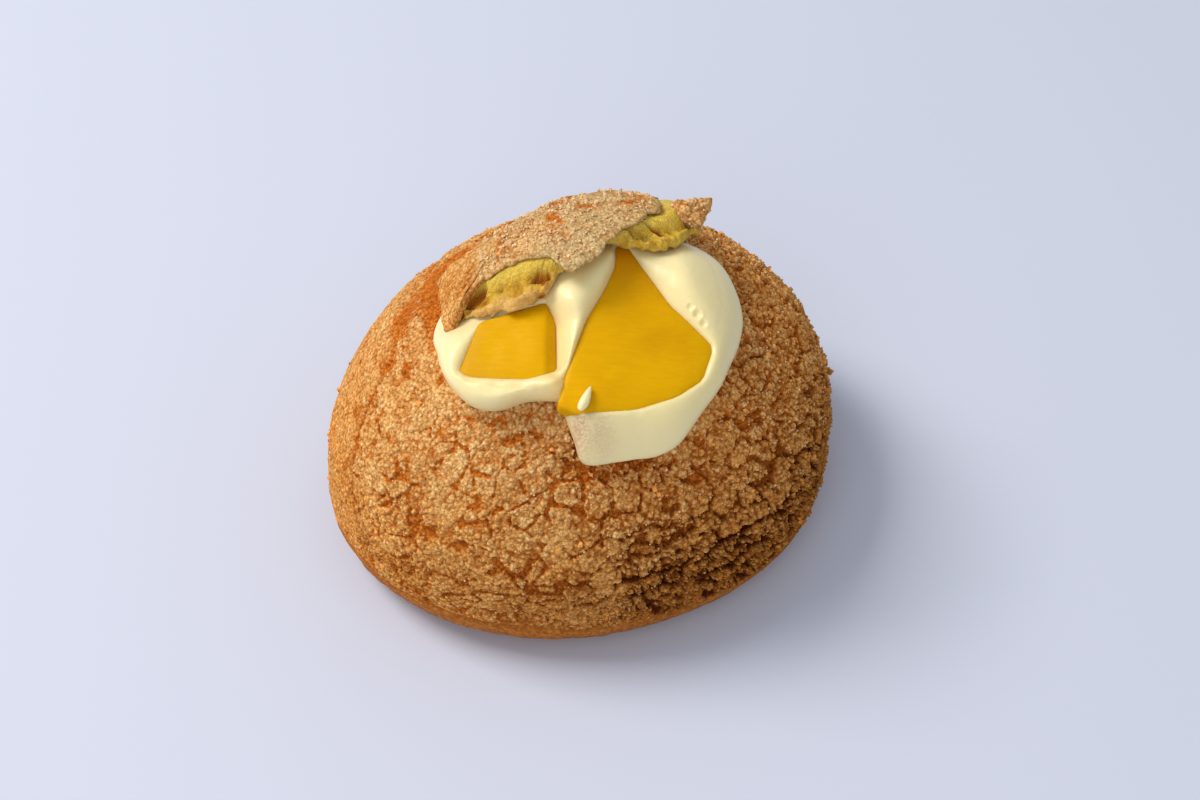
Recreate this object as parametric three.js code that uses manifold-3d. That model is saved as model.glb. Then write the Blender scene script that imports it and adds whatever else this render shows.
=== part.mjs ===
// A cream puff with a crackled cookie crust. Its top is torn open and lifted at the front like a lid,
// cream wells out of the hole over the rim, and two pieces of mango lie in the cream under the lid.
// Millimetres, +Z up, standing on z = 0, with the opening towards -Y.
import * as THREE from "three";
import { mergeVertices } from "three/addons/utils/BufferGeometryUtils.js";
import Module from "manifold-3d";

const wasm = await Module();
wasm.setup();

// ---------------------------------------------------------------- driving dimensions
const BUN = { length: 86, width: 74.4, height: 47, turn: 26, waist: 10, foot: 0.84 };
const WALL = 5; // choux wall with its crust
const GAP = 0.3; // clearance between neighbouring solids
const SWELLS = [
  // where the bun bulges (+) or is flat (-): azimuth and spread in degrees, amount in mm
  { azimuth: -4, spread: 15, amount: -0.8 },
  { azimuth: 50, spread: 20, amount: 0.4 },
  { azimuth: 172, spread: 24, amount: -0.3 },
  { azimuth: -38, spread: 20, amount: 0.5 },
];
const NUGGET = { cell: 5.2, depth: 0.8, wander: 0.5 }; // crackle of the cookie crust
const BARE_BELOW = 10.5; // the crust's lower edge: under it the choux is smooth
const LID = {
  crust: 1.5,
  crumb: 3.2,
  lift: 10.3, // of the lip over the bun, where it is highest
  hinge: 20.7, // y of the hinge, behind
  hingeMiddle: 19.2, // y of the hinge's slanting left half, carried on to x = 0
  slant: 0.64, // slope of that half, seen from above
  lip: -8, // y, in front
  high: 8.5, // x where the lip is highest
  low: -21.5, // x of its left end
  droop: 0.8, // share of the lift lost at the left end
  tuck: 2.2, // how deep the lid is sunk in the bun along the hinge
};
const CREAM_HEIGHT = 5.3; // above the crust, on the rim of the cream
const OVER_MANGO = 8; // no cream lies over the mango, up to this height

// ---------------------------------------------------------------- outlines, seen from above
const CREAM_EDGE = [
  [16, 8.2], [21.1, 2.8], [23.4, -4.5], [21.8, -12], [17.2, -20], [10.5, -26.2], [4.2, -28.6],
  [0.3, -28.7], [-1, -26.6], [-2.2, -24.2], [-3.1, -22.7], [-4.4, -22.5], [-8, -22.4],
  [-12.6, -22.8], [-17.2, -20.3], [-20.4, -14.2], [-21.4, -8], [-16.5, 1], [-6, 9], [8, 11],
];
const HOLE_EDGE = [
  [13, 6.5], [19.4, -0.5], [18.4, -10], [12.6, -19.6], [4, -24], [-3.2, -20.6],
  [-11, -19.6], [-16.8, -15.2], [-17.6, -6], [-15, 2], [-9, 8], [3, 10],
];
const LID_CRUST_EDGE = [
  [-19.7, -9.7], [-17.6, -10.6], [-15.6, -8.4], [-12.5, -6.5], [-8.5, -5.8], [-3.9, -6.4], [-1.5, -8.9],
  [1.2, -7.3], [3.7, -3.9], [5.8, -0.9], [8.4, 1.6], [10.2, 5], [10.4, 14], [8, 20], [1, 22.6],
  [-6, 17.6], [-14, 12.2], [-20.6, 7.6], [-21.9, 1], [-20.8, -4.7],
];
const LID_CRUMB_EDGE = [
  [-18.8, -7.8], [-16.7, -9.2], [-11, -10.6], [-7.2, -10.7], [-4.6, -9.4], [-2.6, -6.6], [2.2, -2.7],
  [6.2, -1.8], [8.9, -2.2], [11.7, -1], [13.9, 2], [16.4, 6], [15.8, 12], [10, 18.5], [2, 20.5],
  [-6, 15.6], [-13, 10.6], [-18.6, 6], [-20, -1],
];

// Flat pieces lie in a plane of their own: its origin, the way it faces, and corners in that plane.
const MANGO_LARGE = {
  origin: [8.8, -17.8, 45.6],
  facing: [0.15, -0.35, 0.925],
  corners: [
    [-4.4, 18], [-1.8, 18], [-0.8, 14.3], [4, 7.7], [10.9, 1.9], [9.1, -3.9], [5, -7.2],
    [-0.8, -9.6], [-8.6, -10.9], [-12.8, -9.4], [-10.6, -2], [-8.2, 4.6], [-4.6, 10.5],
  ],
  rounding: 1.6,
  points: 34,
  depth: 4.4,
};
const MANGO_SMALL = {
  origin: [-10.7, -16.9, 46.1],
  facing: [-0.12, -0.34, 0.932],
  corners: [[-4.2, 4.1], [5.5, 6.4], [6.9, 3.5], [7.2, -7.4], [-1, -6.7], [-6.6, -5], [-7, -3.6]],
  rounding: 1.2,
  points: 26,
  depth: 3.3,
};
const CHIP = {
  // a flake of crust that stands up at the right end of the lid
  origin: [16.9, 4.7, 53.7],
  facing: [0.2, -0.55, 0.81],
  corners: [[-2.9, 1.5], [-2.6, -1.7], [1.2, -2.8], [3.2, 2.1]],
  rounding: 0.4,
  points: 16,
  depth: 3.4,
};

// ---------------------------------------------------------------- numbers
const rad = THREE.MathUtils.degToRad;
const { clamp, smoothstep } = THREE.MathUtils;
const point = (x, y, z = 0) => new THREE.Vector3(x, y, z);

// The same number from 0 to 1 each time for a whole-numbered place and a seed.
function chance(i, j, k, seed) {
  let h = (i * 374761393) ^ (j * 668265263) ^ (k * 2147483647) ^ (seed * 1274126177);
  h = Math.imul(h ^ (h >>> 13), 1274126177);
  return ((h ^ (h >>> 16)) >>> 0) / 4294967296;
}

// How far p is from the border between the two nearest points of a shaken lattice,
// in cells: 0 in a crack, about 0.5 in the middle of a nugget.
function fromCrack(p, cell) {
  const at = p.clone().divideScalar(cell);
  const home = at.clone().floor();
  let nearest = Infinity;
  let second = Infinity;
  for (let i = -1; i <= 1; i++)
    for (let j = -1; j <= 1; j++)
      for (let k = -1; k <= 1; k++) {
        const c = point(home.x + i, home.y + j, home.z + k);
        const seedPoint = point(
          c.x + chance(c.x, c.y, c.z, 1),
          c.y + chance(c.x, c.y, c.z, 2),
          c.z + chance(c.x, c.y, c.z, 3),
        );
        const d = at.distanceTo(seedPoint);
        if (d < nearest) [second, nearest] = [nearest, d];
        else if (d < second) second = d;
      }
  return second - nearest;
}

// Height of the crackled crust over its mean surface at p.
function crackle(p) {
  const bend = Math.sin(p.x / 3.1) + Math.sin(p.y / 2.7 + 1) + Math.sin(p.z / 2.3 + 2);
  const q = p.clone().addScalar(bend * NUGGET.wander);
  return NUGGET.depth * (smoothstep(fromCrack(q, NUGGET.cell), 0, 0.35) - 0.7);
}

// ---------------------------------------------------------------- the bun's surface
const CROWN = BUN.height - BUN.waist;
const TURN = rad(BUN.turn);

// Half length and half width of the bun, taken in by inset.
const halves = (inset) => [BUN.length / 2 - inset, BUN.width / 2 - inset];

// A point at angle phi round the bun and t up its side, from -90 at the foot's edge by 0 at the waist to
// 90 at the crown, inset from the skin and then moved out by swell and by relief(p).
function bunPoint(phi, t, inset, relief) {
  const [a, b] = halves(inset);
  const waist = inset ? BUN.waist + 3 : BUN.waist;
  const up = t >= 0;
  const high = up ? BUN.height - inset - waist : waist - inset;
  const r = up ? Math.cos(t) : 1 - (1 - BUN.foot) * (1 - Math.cos(t));
  const dr = up ? -Math.sin(t) : -(1 - BUN.foot) * Math.sin(t);
  const dz = high * Math.cos(t);
  const p = point(a * r * Math.cos(phi), b * r * Math.sin(phi), waist + high * Math.sin(t));
  const normal = point(b * dz * Math.cos(phi), a * dz * Math.sin(phi), -a * b * dr);
  p.applyAxisAngle(point(0, 0, 1), TURN);
  normal.applyAxisAngle(point(0, 0, 1), TURN).normalize();
  const out = swell(p) * Math.cos(t) ** 2 + (relief ? relief(p) : 0);
  return p.addScaledVector(normal, out);
}

// Uneven growth of the bun, by azimuth.
function swell(p) {
  const azimuth = THREE.MathUtils.radToDeg(Math.atan2(p.y, p.x));
  return SWELLS.reduce((sum, s) => {
    const away = ((azimuth - s.azimuth + 540) % 360) - 180;
    return sum + s.amount * Math.exp(-((away / s.spread) ** 2));
  }, 0);
}

// The point h above the crown's surface over plan position (x, y), along the surface's normal.
function onCrown(x, y, h) {
  const [a, b] = halves(0);
  const c = Math.cos(TURN);
  const s = Math.sin(TURN);
  const u = (x * c + y * s) / a;
  const v = (-x * s + y * c) / b;
  const z = Math.sqrt(Math.max(0.02, 1 - u * u - v * v));
  const normal = point((u * c) / a - (v * s) / b, (u * s) / a + (v * c) / b, z / CROWN).normalize();
  const p = point(x, y, BUN.waist + CROWN * z);
  return p.addScaledVector(normal, h + swell(p) * (1 - z * z));
}

// ---------------------------------------------------------------- solids
// A closed solid from rings of equal length, listed upwards and each anticlockwise seen from above,
// with one point closing each end.
function skin(low, rings, high) {
  const n = rings[0].length;
  const verts = [low, ...rings.flat(), high];
  const at = (row, col) => 1 + row * n + (col % n);
  const last = verts.length - 1;
  const tris = [];
  for (let c = 0; c < n; c++) {
    tris.push(0, at(0, c + 1), at(0, c));
    tris.push(last, at(rings.length - 1, c), at(rings.length - 1, c + 1));
    for (let r = 0; r + 1 < rings.length; r++) {
      tris.push(at(r, c), at(r, c + 1), at(r + 1, c + 1));
      tris.push(at(r, c), at(r + 1, c + 1), at(r + 1, c));
    }
  }
  const geometry = new THREE.BufferGeometry().setFromPoints(verts).setIndex(tris);
  return solidOf(geometry);
}

function solidOf(geometry) {
  const merged = mergeVertices(geometry, 1e-4);
  return new wasm.Manifold(
    new wasm.Mesh({
      numProp: 3,
      vertProperties: merged.attributes.position.array,
      triVerts: new Uint32Array(merged.index.array),
    }),
  );
}

function geometryOf(solid) {
  const { vertProperties, triVerts } = solid.getMesh();
  return new THREE.BufferGeometry()
    .setAttribute("position", new THREE.BufferAttribute(vertProperties, 3))
    .setIndex(new THREE.BufferAttribute(triVerts, 1));
}

// The largest body of a solid, without the scraps that cutting leaves.
const largest = (solid) => solid.decompose().sort((p, q) => q.volume() - p.volume())[0];

// A smooth closed outline through points, anticlockwise, as count points.
function smoothOutline(points, count) {
  const curve = new THREE.CatmullRomCurve3(points.map(([x, y]) => point(x, y)), true, "catmullrom", 0.5);
  return anticlockwise(curve.getSpacedPoints(count).slice(0, count));
}

// A closed outline of straight sides with rounded corners, anticlockwise, as count points.
function corneredOutline(corners, rounding, count) {
  const shape = new THREE.Shape();
  const along = (from, to) => {
    const way = new THREE.Vector2(...to).sub(new THREE.Vector2(...from));
    return new THREE.Vector2(...from).addScaledVector(way, Math.min(0.45, rounding / way.length()));
  };
  corners.forEach((corner, i) => {
    const before = along(corner, corners.at(i - 1));
    const after = along(corner, corners[(i + 1) % corners.length]);
    if (i === 0) shape.moveTo(before.x, before.y);
    else shape.lineTo(before.x, before.y);
    shape.quadraticCurveTo(corner[0], corner[1], after.x, after.y);
  });
  shape.closePath();
  return anticlockwise(shape.getSpacedPoints(count).slice(0, count));
}

function anticlockwise(points) {
  return THREE.ShapeUtils.area(points) < 0 ? points.reverse() : points;
}

function centreOf(outline) {
  const sum = outline.reduce((s, p) => s.add(point(p.x, p.y)), point(0, 0));
  return sum.divideScalar(outline.length);
}

// How far across from the middle to the edge the rings of a slab lie, below and above.
const UNDER = [0.35, 0.65, 0.88, 0.975];
const OVER = [0.99, 0.95, 0.88, 0.78, 0.65, 0.5, 0.34, 0.17];

// An anticlockwise outline moved out by a distance.
function grow(outline, distance) {
  return outline.map((p, i) => {
    const before = outline.at(i - 1);
    const after = outline[(i + 1) % outline.length];
    const out = point(after.y - before.y, before.x - after.x).normalize();
    return point(p.x, p.y).addScaledVector(out, distance);
  });
}

// A slab over an outline between heights lower(x, y) and upper(x, y), with a rounded edge. place(x, y, h)
// puts a point of it in space. A sharpness of 2 makes the edge an ellipse, and more makes it squarer.
// rag is how far the edge wanders in and out where it is torn.
function slab(outline, { place, lower, upper, sharpness, rag = 0 }) {
  const middle = centreOf(outline);
  const placed = (p, across, side, tear) => {
    const far = across + (tear * across ** 9) / Math.hypot(p.x - middle.x, p.y - middle.y);
    const x = middle.x + (p.x - middle.x) * far;
    const y = middle.y + (p.y - middle.y) * far;
    const share = 0.5 + (side / 2) * (1 - across ** sharpness) ** (1 / sharpness);
    return place(x, y, THREE.MathUtils.lerp(lower(x, y), upper(x, y), share));
  };
  const ring = (across, side) =>
    outline.map((p, i) => placed(p, across, side, rag * (2 * chance(i, 0, 0, 7) - 1)));
  const rings = [...UNDER.map((r) => ring(r, -1)), ring(1, 0), ...OVER.map((r) => ring(r, 1))];
  const beside = outline[0];
  return skin(placed(beside, 0, -1, 0), rings, placed(beside, 0, 1, 0));
}

// The bun as a closed solid, with columns round it and rows from the foot's edge to the crown.
function bun({ columns, below, above, inset = 0, relief = null }) {
  const angles = [];
  for (let r = 0; r <= below; r++) angles.push(rad(-90 + (90 * r) / below));
  for (let r = 1; r < above; r++) angles.push(rad((90 * r) / above));
  const round = Array.from({ length: columns }, (_, c) => (2 * Math.PI * c) / columns);
  const rings = angles.map((t) => round.map((phi) => bunPoint(phi, t, inset, relief)));
  rings[0].forEach((p) => p.setZ(inset));
  return skin(point(0, 0, inset), rings, bunPoint(0, Math.PI / 2, inset, relief));
}

// A straight column over an outline.
function column(outline, from, to) {
  const middle = centreOf(outline);
  const ring = (z) => outline.map((p) => point(p.x, p.y, z));
  return skin(point(middle.x, middle.y, from), [ring(from), ring(to)], point(middle.x, middle.y, to));
}

// ---------------------------------------------------------------- choux shell with its lid
// How far the lid's outside stands above the crown: sunk in it along the hinge, which runs aslant behind,
// rising in a bulge to the torn lip, and lower towards the left end, which hangs down on the cream.
function lidLift(x, y) {
  const hinge = Math.min(LID.hinge, LID.hingeMiddle + LID.slant * x);
  const open = clamp((hinge - y) / (hinge - LID.lip), 0, 1);
  const along = clamp((LID.high - x) / (LID.high - LID.low), 0, 1.05);
  const rise = 1 - (1 - open) ** 2;
  return LID.lift * rise * (1 - LID.droop * along ** 2) - LID.tuck * (1 - smoothstep(open, 0, 0.1));
}

function lid(grown) {
  const crumbDepth = (x, y) => LID.crumb * clamp(lidLift(x, y) / LID.lift, 0.3, 1);
  const bare = (x) => (LID.crust - 0.6) * smoothstep(x, 9.5, 12);
  const pits = (x, y) => 0.8 * smoothstep(fromCrack(point(x, y), 4.4), 0.05, 0.5);
  const relief = (x, y) => crackle(onCrown(x, y, 0)) * smoothstep(lidLift(x, y), 0, 3);
  const crust = slab(grow(smoothOutline(LID_CRUST_EDGE, 40), grown), {
    place: onCrown,
    lower: (x, y) => lidLift(x, y) - LID.crust - grown,
    upper: (x, y) => lidLift(x, y) + (grown || relief(x, y)),
    sharpness: 4,
    rag: 0.5,
  });
  const crumb = slab(grow(smoothOutline(LID_CRUMB_EDGE, 40), grown), {
    place: onCrown,
    lower: (x, y) => lidLift(x, y) - LID.crust - crumbDepth(x, y) + (grown ? -grown : pits(x, y)),
    upper: (x, y) => lidLift(x, y) - LID.crust + 0.6 + bare(x) + grown,
    sharpness: 5,
    rag: 0.6,
  });
  return crust.add(crumb).add(flat(CHIP, grown));
}

// A flat piece in its own plane, grown outwards by grown, and upwards by above instead if that is given.
function flat(piece, grown, above = grown) {
  const facing = point(...piece.facing).normalize();
  const across = point(1, 0, 0).projectOnPlane(facing).normalize();
  const along = facing.clone().cross(across);
  const place = (x, y, h) =>
    point(...piece.origin)
      .addScaledVector(across, x)
      .addScaledVector(along, y)
      .addScaledVector(facing, h);
  return slab(grow(corneredOutline(piece.corners, piece.rounding, piece.points), grown), {
    place,
    lower: () => -piece.depth - grown,
    upper: (x, y) => above - 0.004 * (x * x + y * y),
    sharpness: 7,
  });
}

function crustRelief(p) {
  return crackle(p) * smoothstep(p.z, BARE_BELOW - 1.5, BARE_BELOW + 1);
}

const HOLLOW_GRID = { columns: 32, below: 3, above: 9 };
const holeEdge = smoothOutline(HOLE_EDGE, 40);
const hollow = bun({ ...HOLLOW_GRID, inset: WALL });
const body = bun({ columns: 88, below: 5, above: 24, relief: crustRelief });
const shell = body.subtract(hollow.add(column(holeEdge, BUN.height / 2, 2 * BUN.height)));
const chouxShell = largest(shell.add(lid(0)));

// ---------------------------------------------------------------- mango and cream
const mangoLarge = flat(MANGO_LARGE, 0);
const mangoSmall = flat(MANGO_SMALL, 0);

// The cream's height over the crown: a plump rim in front that sinks under the lid, with a ridge between
// the pieces of mango and its fullest lobe at the right.
function creamTop(x, y) {
  const sink = smoothstep(y, -2, 12);
  const ridge = 1.1 * Math.exp(-(((x + 1) / 3.2) ** 2) - ((y + 8) / 8) ** 2);
  const lobe = 1.3 * Math.exp(-(((x - 17) / 6) ** 2) - ((y + 5) / 9) ** 2);
  return (CREAM_HEIGHT + lobe) * (1 - sink) - 0.8 * sink + ridge;
}

function cream() {
  const cap = slab(smoothOutline(CREAM_EDGE, 52), {
    place: onCrown,
    lower: () => -6.5,
    upper: creamTop,
    sharpness: 4,
  });
  const filling = bun({ ...HOLLOW_GRID, inset: WALL + GAP });
  const space = filling.add(column(grow(holeEdge, -GAP), BUN.height / 2, 2 * BUN.height));
  const crust = bun({ columns: 60, below: 2, above: 18, relief: () => 2 * GAP });
  const keepOut = crust
    .subtract(space)
    .add(lid(2 * GAP))
    .add(flat(MANGO_LARGE, GAP))
    .add(flat(MANGO_LARGE, GAP, OVER_MANGO))
    .add(flat(MANGO_SMALL, GAP))
    .add(flat(MANGO_SMALL, GAP, OVER_MANGO));
  return largest(cap.add(filling).subtract(keepOut));
}

// ---------------------------------------------------------------- the part
const CRUST_COLOUR = new THREE.MeshStandardMaterial({ color: 0xc98a4a, roughness: 0.85, metalness: 0 });
const CREAM_COLOUR = new THREE.MeshStandardMaterial({ color: 0xf6ecc4, roughness: 0.35, metalness: 0 });
const MANGO_COLOUR = new THREE.MeshStandardMaterial({ color: 0xf0b41a, roughness: 0.3, metalness: 0 });

const creamPuff = new THREE.Group();
function addPiece(name, solid, material) {
  const mesh = new THREE.Mesh(geometryOf(solid), material);
  mesh.name = name;
  creamPuff.add(mesh);
}
addPiece("choux_shell", chouxShell, CRUST_COLOUR);
addPiece("cream", cream(), CREAM_COLOUR);
addPiece("mango_large", mangoLarge, MANGO_COLOUR);
addPiece("mango_small", mangoSmall, MANGO_COLOUR);

export default creamPuff;
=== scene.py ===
"""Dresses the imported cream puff: a choux bun under a crackled cookie crust, its top torn open like a lid
over cream and two pieces of mango. Lengths inside the shape functions are millimetres; meshes are metres.
"""

import math

import bpy
import numpy as np
from bpy.props import FloatProperty, FloatVectorProperty, IntProperty, PointerProperty
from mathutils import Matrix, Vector


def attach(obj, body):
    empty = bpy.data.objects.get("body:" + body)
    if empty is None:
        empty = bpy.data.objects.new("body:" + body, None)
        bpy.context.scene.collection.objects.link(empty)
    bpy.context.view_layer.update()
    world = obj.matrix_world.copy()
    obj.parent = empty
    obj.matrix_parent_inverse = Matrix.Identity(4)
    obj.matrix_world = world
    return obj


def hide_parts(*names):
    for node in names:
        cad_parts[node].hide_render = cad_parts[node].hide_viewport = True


bl_info = {
    "name": "Cream puff",
    "version": (1, 0, 0),
    "blender": (4, 5, 0),
    "location": "3D View > Sidebar > Cream puff",
    "description": "Crust, crumb, cream and fruit of a filled choux bun",
    "category": "Object",
}

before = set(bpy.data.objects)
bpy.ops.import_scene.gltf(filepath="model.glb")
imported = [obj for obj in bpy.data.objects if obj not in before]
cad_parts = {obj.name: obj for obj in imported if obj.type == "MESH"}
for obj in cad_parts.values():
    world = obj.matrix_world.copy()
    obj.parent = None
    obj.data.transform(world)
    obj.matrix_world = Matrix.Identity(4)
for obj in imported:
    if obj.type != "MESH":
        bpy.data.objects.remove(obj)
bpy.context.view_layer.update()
MM = 0.001

# ------------------------------------------------------------------ sizes shared with the solids, in mm
# The bun's long and short axes, its height, and how far it is turned about Z.
LENGTH, WIDTH, HEIGHT, TURN = 86.0, 74.4, 47.0, math.radians(26)
# The height of its waist, how wide its foot is beside the waist, and the thickness of its wall.
WAIST, FOOT, WALL = 10.0, 0.84, 5.0
# Bulges and dents of its side: azimuth and spread in degrees, amount.
SWELLS = ((-4, 15, -0.8), (50, 20, 0.4), (172, 24, -0.3), (-38, 20, 0.5))
# The lid: thickness of its crust and crumb, how high its lip stands above the crown, y of its hinge and how
# that slants with x, y of its lip, x of its high and its low end, how much lower that end is, and how deep
# the hinge is tucked in.
LID = dict(crust=1.5, crumb=3.2, lift=10.3, hinge=20.7, hinge_middle=19.2, slant=0.64, lip=-8.0,
           high=8.5, low=-21.5, droop=0.8, tuck=2.2)
# Outlines in plan: the cream, the opening in the bun, and the lid's crust and crumb.
CREAM_EDGE = [
    (16, 8.2), (21.1, 2.8), (23.4, -4.5), (21.8, -12), (17.2, -20), (10.5, -26.2), (4.2, -28.6),
    (0.3, -28.7), (-1, -26.6), (-2.2, -24.2), (-3.1, -22.7), (-4.4, -22.5), (-8, -22.4),
    (-12.6, -22.8), (-17.2, -20.3), (-20.4, -14.2), (-21.4, -8), (-16.5, 1), (-6, 9), (8, 11),
]
HOLE_EDGE = [
    (13, 6.5), (19.4, -0.5), (18.4, -10), (12.6, -19.6), (4, -24), (-3.2, -20.6),
    (-11, -19.6), (-16.8, -15.2), (-17.6, -6), (-15, 2), (-9, 8), (3, 10),
]
LID_CRUST_EDGE = [
    (-19.7, -9.7), (-17.6, -10.6), (-15.6, -8.4), (-12.5, -6.5), (-8.5, -5.8), (-3.9, -6.4), (-1.5, -8.9),
    (1.2, -7.3), (3.7, -3.9), (5.8, -0.9), (8.4, 1.6), (10.2, 5), (10.4, 14), (8, 20), (1, 22.6),
    (-6, 17.6), (-14, 12.2), (-20.6, 7.6), (-21.9, 1), (-20.8, -4.7),
]
LID_CRUMB_EDGE = [
    (-19.6, -8.8), (-16.8, -10.1), (-11, -11.3), (-7.4, -11.4), (-4.8, -9.9), (-2.6, -6.6), (2.2, -2.7),
    (6.2, -1.8), (8.9, -2.2), (11.7, -1), (13.9, 2), (16.4, 6), (15.8, 12), (10, 18.5), (2, 20.5),
    (-6, 15.6), (-13, 10.6), (-18.6, 6), (-20, -1),
]
# Where the torn face of the crumb begins: under the crust's lip, and right of it at the bare crumb's brow.
LID_BROW = LID_CRUST_EDGE[:11] + [(11.4, 3.6), (14.4, 6.4), (15.4, 10), (13.6, 15)] + LID_CRUST_EDGE[13:]
# Caves in the torn face: x, y, half length, half width, turn in degrees, depth.
CAVES = (
    (-14.3, -8.0, 2.0, 0.9, 25, 2.2), (-5.1, -10.9, 1.0, 1.0, 0, 2.0), (-9.3, -8.8, 2.4, 1.3, -6, 0.5),
    (-16.9, -9.6, 0.9, 0.6, 30, 1.5), (-12.3, -11.4, 1.0, 0.4, 8, 1.0), (-5.2, -7.9, 1.6, 0.7, 10, 1.4),
    (9.8, 0.1, 1.6, 0.35, -12, 1.3), (13.2, 3.9, 1.0, 0.6, 20, 0.7),
    (6.6, -0.9, 1.3, 0.6, 5, 0.6),
)
# Flat pieces: a point and the facing of their upper face, its corners in its own plane, how far the corners
# are rounded, and the depth. The small mango's right side is cut off aslant from x = facet on.
MANGO_LARGE = dict(
    origin=(8.8, -17.8, 45.6),
    facing=(0.15, -0.35, 0.925),
    corners=[(-3.7, 18.6), (-1.9, 18.6), (0.6, 14.3), (4.6, 8.0), (10.9, 1.9), (9.1, -3.7), (5, -6.8),
             (-0.8, -9.1), (-8.6, -10.0), (-12.0, -8.6), (-10.4, -2), (-8.2, 4.6), (-5.2, 10.5),
             (-3.7, 14.6)],
    rounding=1.0,
    depth=4.4,
)
MANGO_SMALL = dict(
    origin=(-10.7, -16.9, 46.1),
    facing=(-0.12, -0.34, 0.932),
    corners=[(-4.2, 4.1), (5.7, 7.0), (6.8, 4.6), (7.2, -7.4), (-1, -6.7), (-6.6, -5), (-7, -3.6)],
    rounding=0.7,
    depth=3.3,
    facet=5.6,
)
CHIP = dict(
    origin=(16.9, 4.7, 53.7),
    facing=(0.2, -0.55, 0.81),
    corners=[(-2.9, 1.5), (-2.6, -1.7), (1.2, -2.8), (3.2, 2.1)],
    rounding=0.4,
    depth=3.4,
)
# Height of the cookie crust's lower edge, by azimuth in degrees.
CRUST_HEM = [(-180, 7.5), (-140, 8.0), (-100, 7.2), (-60, 5.4), (-20, 5.0), (40, 6.5), (120, 7.5), (180, 7.5)]
# Height of the line where the crust has split and slipped up on the left, by azimuth in degrees.
SLIP_LINE = [
    (-180, 37.5), (-168, 37), (-160, 34.5), (-155, 28), (-150, 20.5), (-143, 13), (-134, 2), (100, 2),
    (118, 11), (132, 22), (143, 33), (155, 37), (168, 38.4), (180, 37.5),
]
# Where the cream's lower lobe swells out over the crust: x, y, spread, amount.
CREAM_BULGE = (13.0, -25.2, 3.6, 1.0)
# Burst bubbles in the cream: x, y, radius, depth.
CREAM_PITS = (
    (14.2, -9.2, 0.30, 0.28), (15.1, -10.0, 0.38, 0.42), (15.9, -11.0, 0.32, 0.34),
)
# Panels of the crust: name, first and last column angle in the bun's own frame, columns and rows.
CRUST_PANELS = (
    ("crust_front_left", -206, -116, 310, 290), ("crust_front_right", -116, -26, 310, 290),
    ("crust_back_right", -26, 64, 210, 190), ("crust_back_left", 64, 154, 210, 190),
)
# How far down the panels go below the waist, in degrees, and how far in from the bun's surface they reach.
PANEL_FOOT, PANEL_DEPTH = -52, 3.2
# How far the choux skin lies under the bun's surface, where the crust covers it and where it is bare.
SKIN_COVERED, SKIN_BARE = 1.6, 0.05
# How much narrower a lump of the crust is than a plate, and the width of a grain.
LUMP_SHARE, GRAIN_WIDTH = 0.31, 0.56
# Heights of the long splits round the lower right.
SPLIT_LEVELS = (10.0, 13.0, 16.8)
# Loose grains: the least and the greatest width of the sugar and of the crumbs on the bun, and the same and
# how many for the sugar on the lid and on the flake.
SUGAR_WIDTHS, CRUMB_WIDTHS = (0.18, 0.34), (0.35, 0.70)
LID_SUGAR = dict(count=2200, widths=(0.20, 0.42), seed=15)
FLAKE_SUGAR = dict(count=90, widths=(0.20, 0.36), seed=18)
# Azimuth and spread, in degrees, of the brownest side and of the palest.
BROWN_SIDE, PALE_SIDE = (-38, 62), (-100, 35)
# Where all the columns of the cream meet in plan, under the large mango, and its grid's columns and rows.
CREAM_POLE, CREAM_COLUMNS, CREAM_ROWS = (5.0, -13.0), 420, 84
# The gap between the filling and the inside of the bun's wall.
CREAM_PLAY = 0.3
# Where crumbs have stained the cream: x, y, half width, half depth, strength.
CREAM_STAINS = ((-0.2, -27.8, 2.0, 2.6, 1.0), (2.6, -28.4, 2.4, 1.7, 0.5))
# The dab of cream: its place in the large mango's plane, and its half width, half length and half height.
DAB_PLACE, DAB_SIZE = (-8.2, -8.0), (0.85, 2.0, 0.8)
# The camera: degrees down, height it looks at, how far right of and below that it aims, and its distance.
CAMERA = dict(tilt=45, height=19.4, right=2.74, below=0.97, distance=269.1, lens=50.0, sensor=36.0)
# The lights' places and sizes and the point they are aimed at, in metres, and their tints.
KEY_LIGHT = dict(place=(-0.68, 0.20, 0.92), size=0.52, tint=(1.0, 0.97, 0.92))
FILL_LIGHT = dict(place=(-0.25, -0.90, 0.55), size=0.80, tint=(1.0, 0.99, 0.97))
LIGHTS_AIM = (0, 0, 0.02)
ROOM_TINT, ROOM_STRENGTH = (0.92, 0.99, 1.06, 1), 0.50
TABLE_TINT, TABLE_HALF = (0.585, 0.605, 0.715, 1), 1500
# Multipliers of the whole-number hash, one for each of x, y and z and one to mix, and the bits it keeps.
HASH_STEPS, HASH_MIX, HASH_BITS = (374761393, 668265263, 1440670441), 1274126177, 0xFFFFFFFF


# ------------------------------------------------------------------ numbers
def smoothstep(low, high, x):
    """0 below low, 1 above high, and 3t^2 - 2t^3 of the share t of the way between them."""
    t = np.clip((x - low) / (high - low), 0, 1)
    return t * t * (3 - 2 * t)


def chance(cell, seed):
    """A fixed number from 0 to 1 for each whole-numbered place (last axis x, y, z) and seed."""
    h = (cell.astype(np.int64) @ np.array(HASH_STEPS) + seed * HASH_MIX) & HASH_BITS
    h = ((h ^ (h >> 13)) * HASH_MIX) & HASH_BITS
    h = ((h ^ (h >> 15)) * HASH_STEPS[1]) & HASH_BITS
    return ((h ^ (h >> 16)) & HASH_BITS) / (HASH_BITS + 1)


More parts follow.
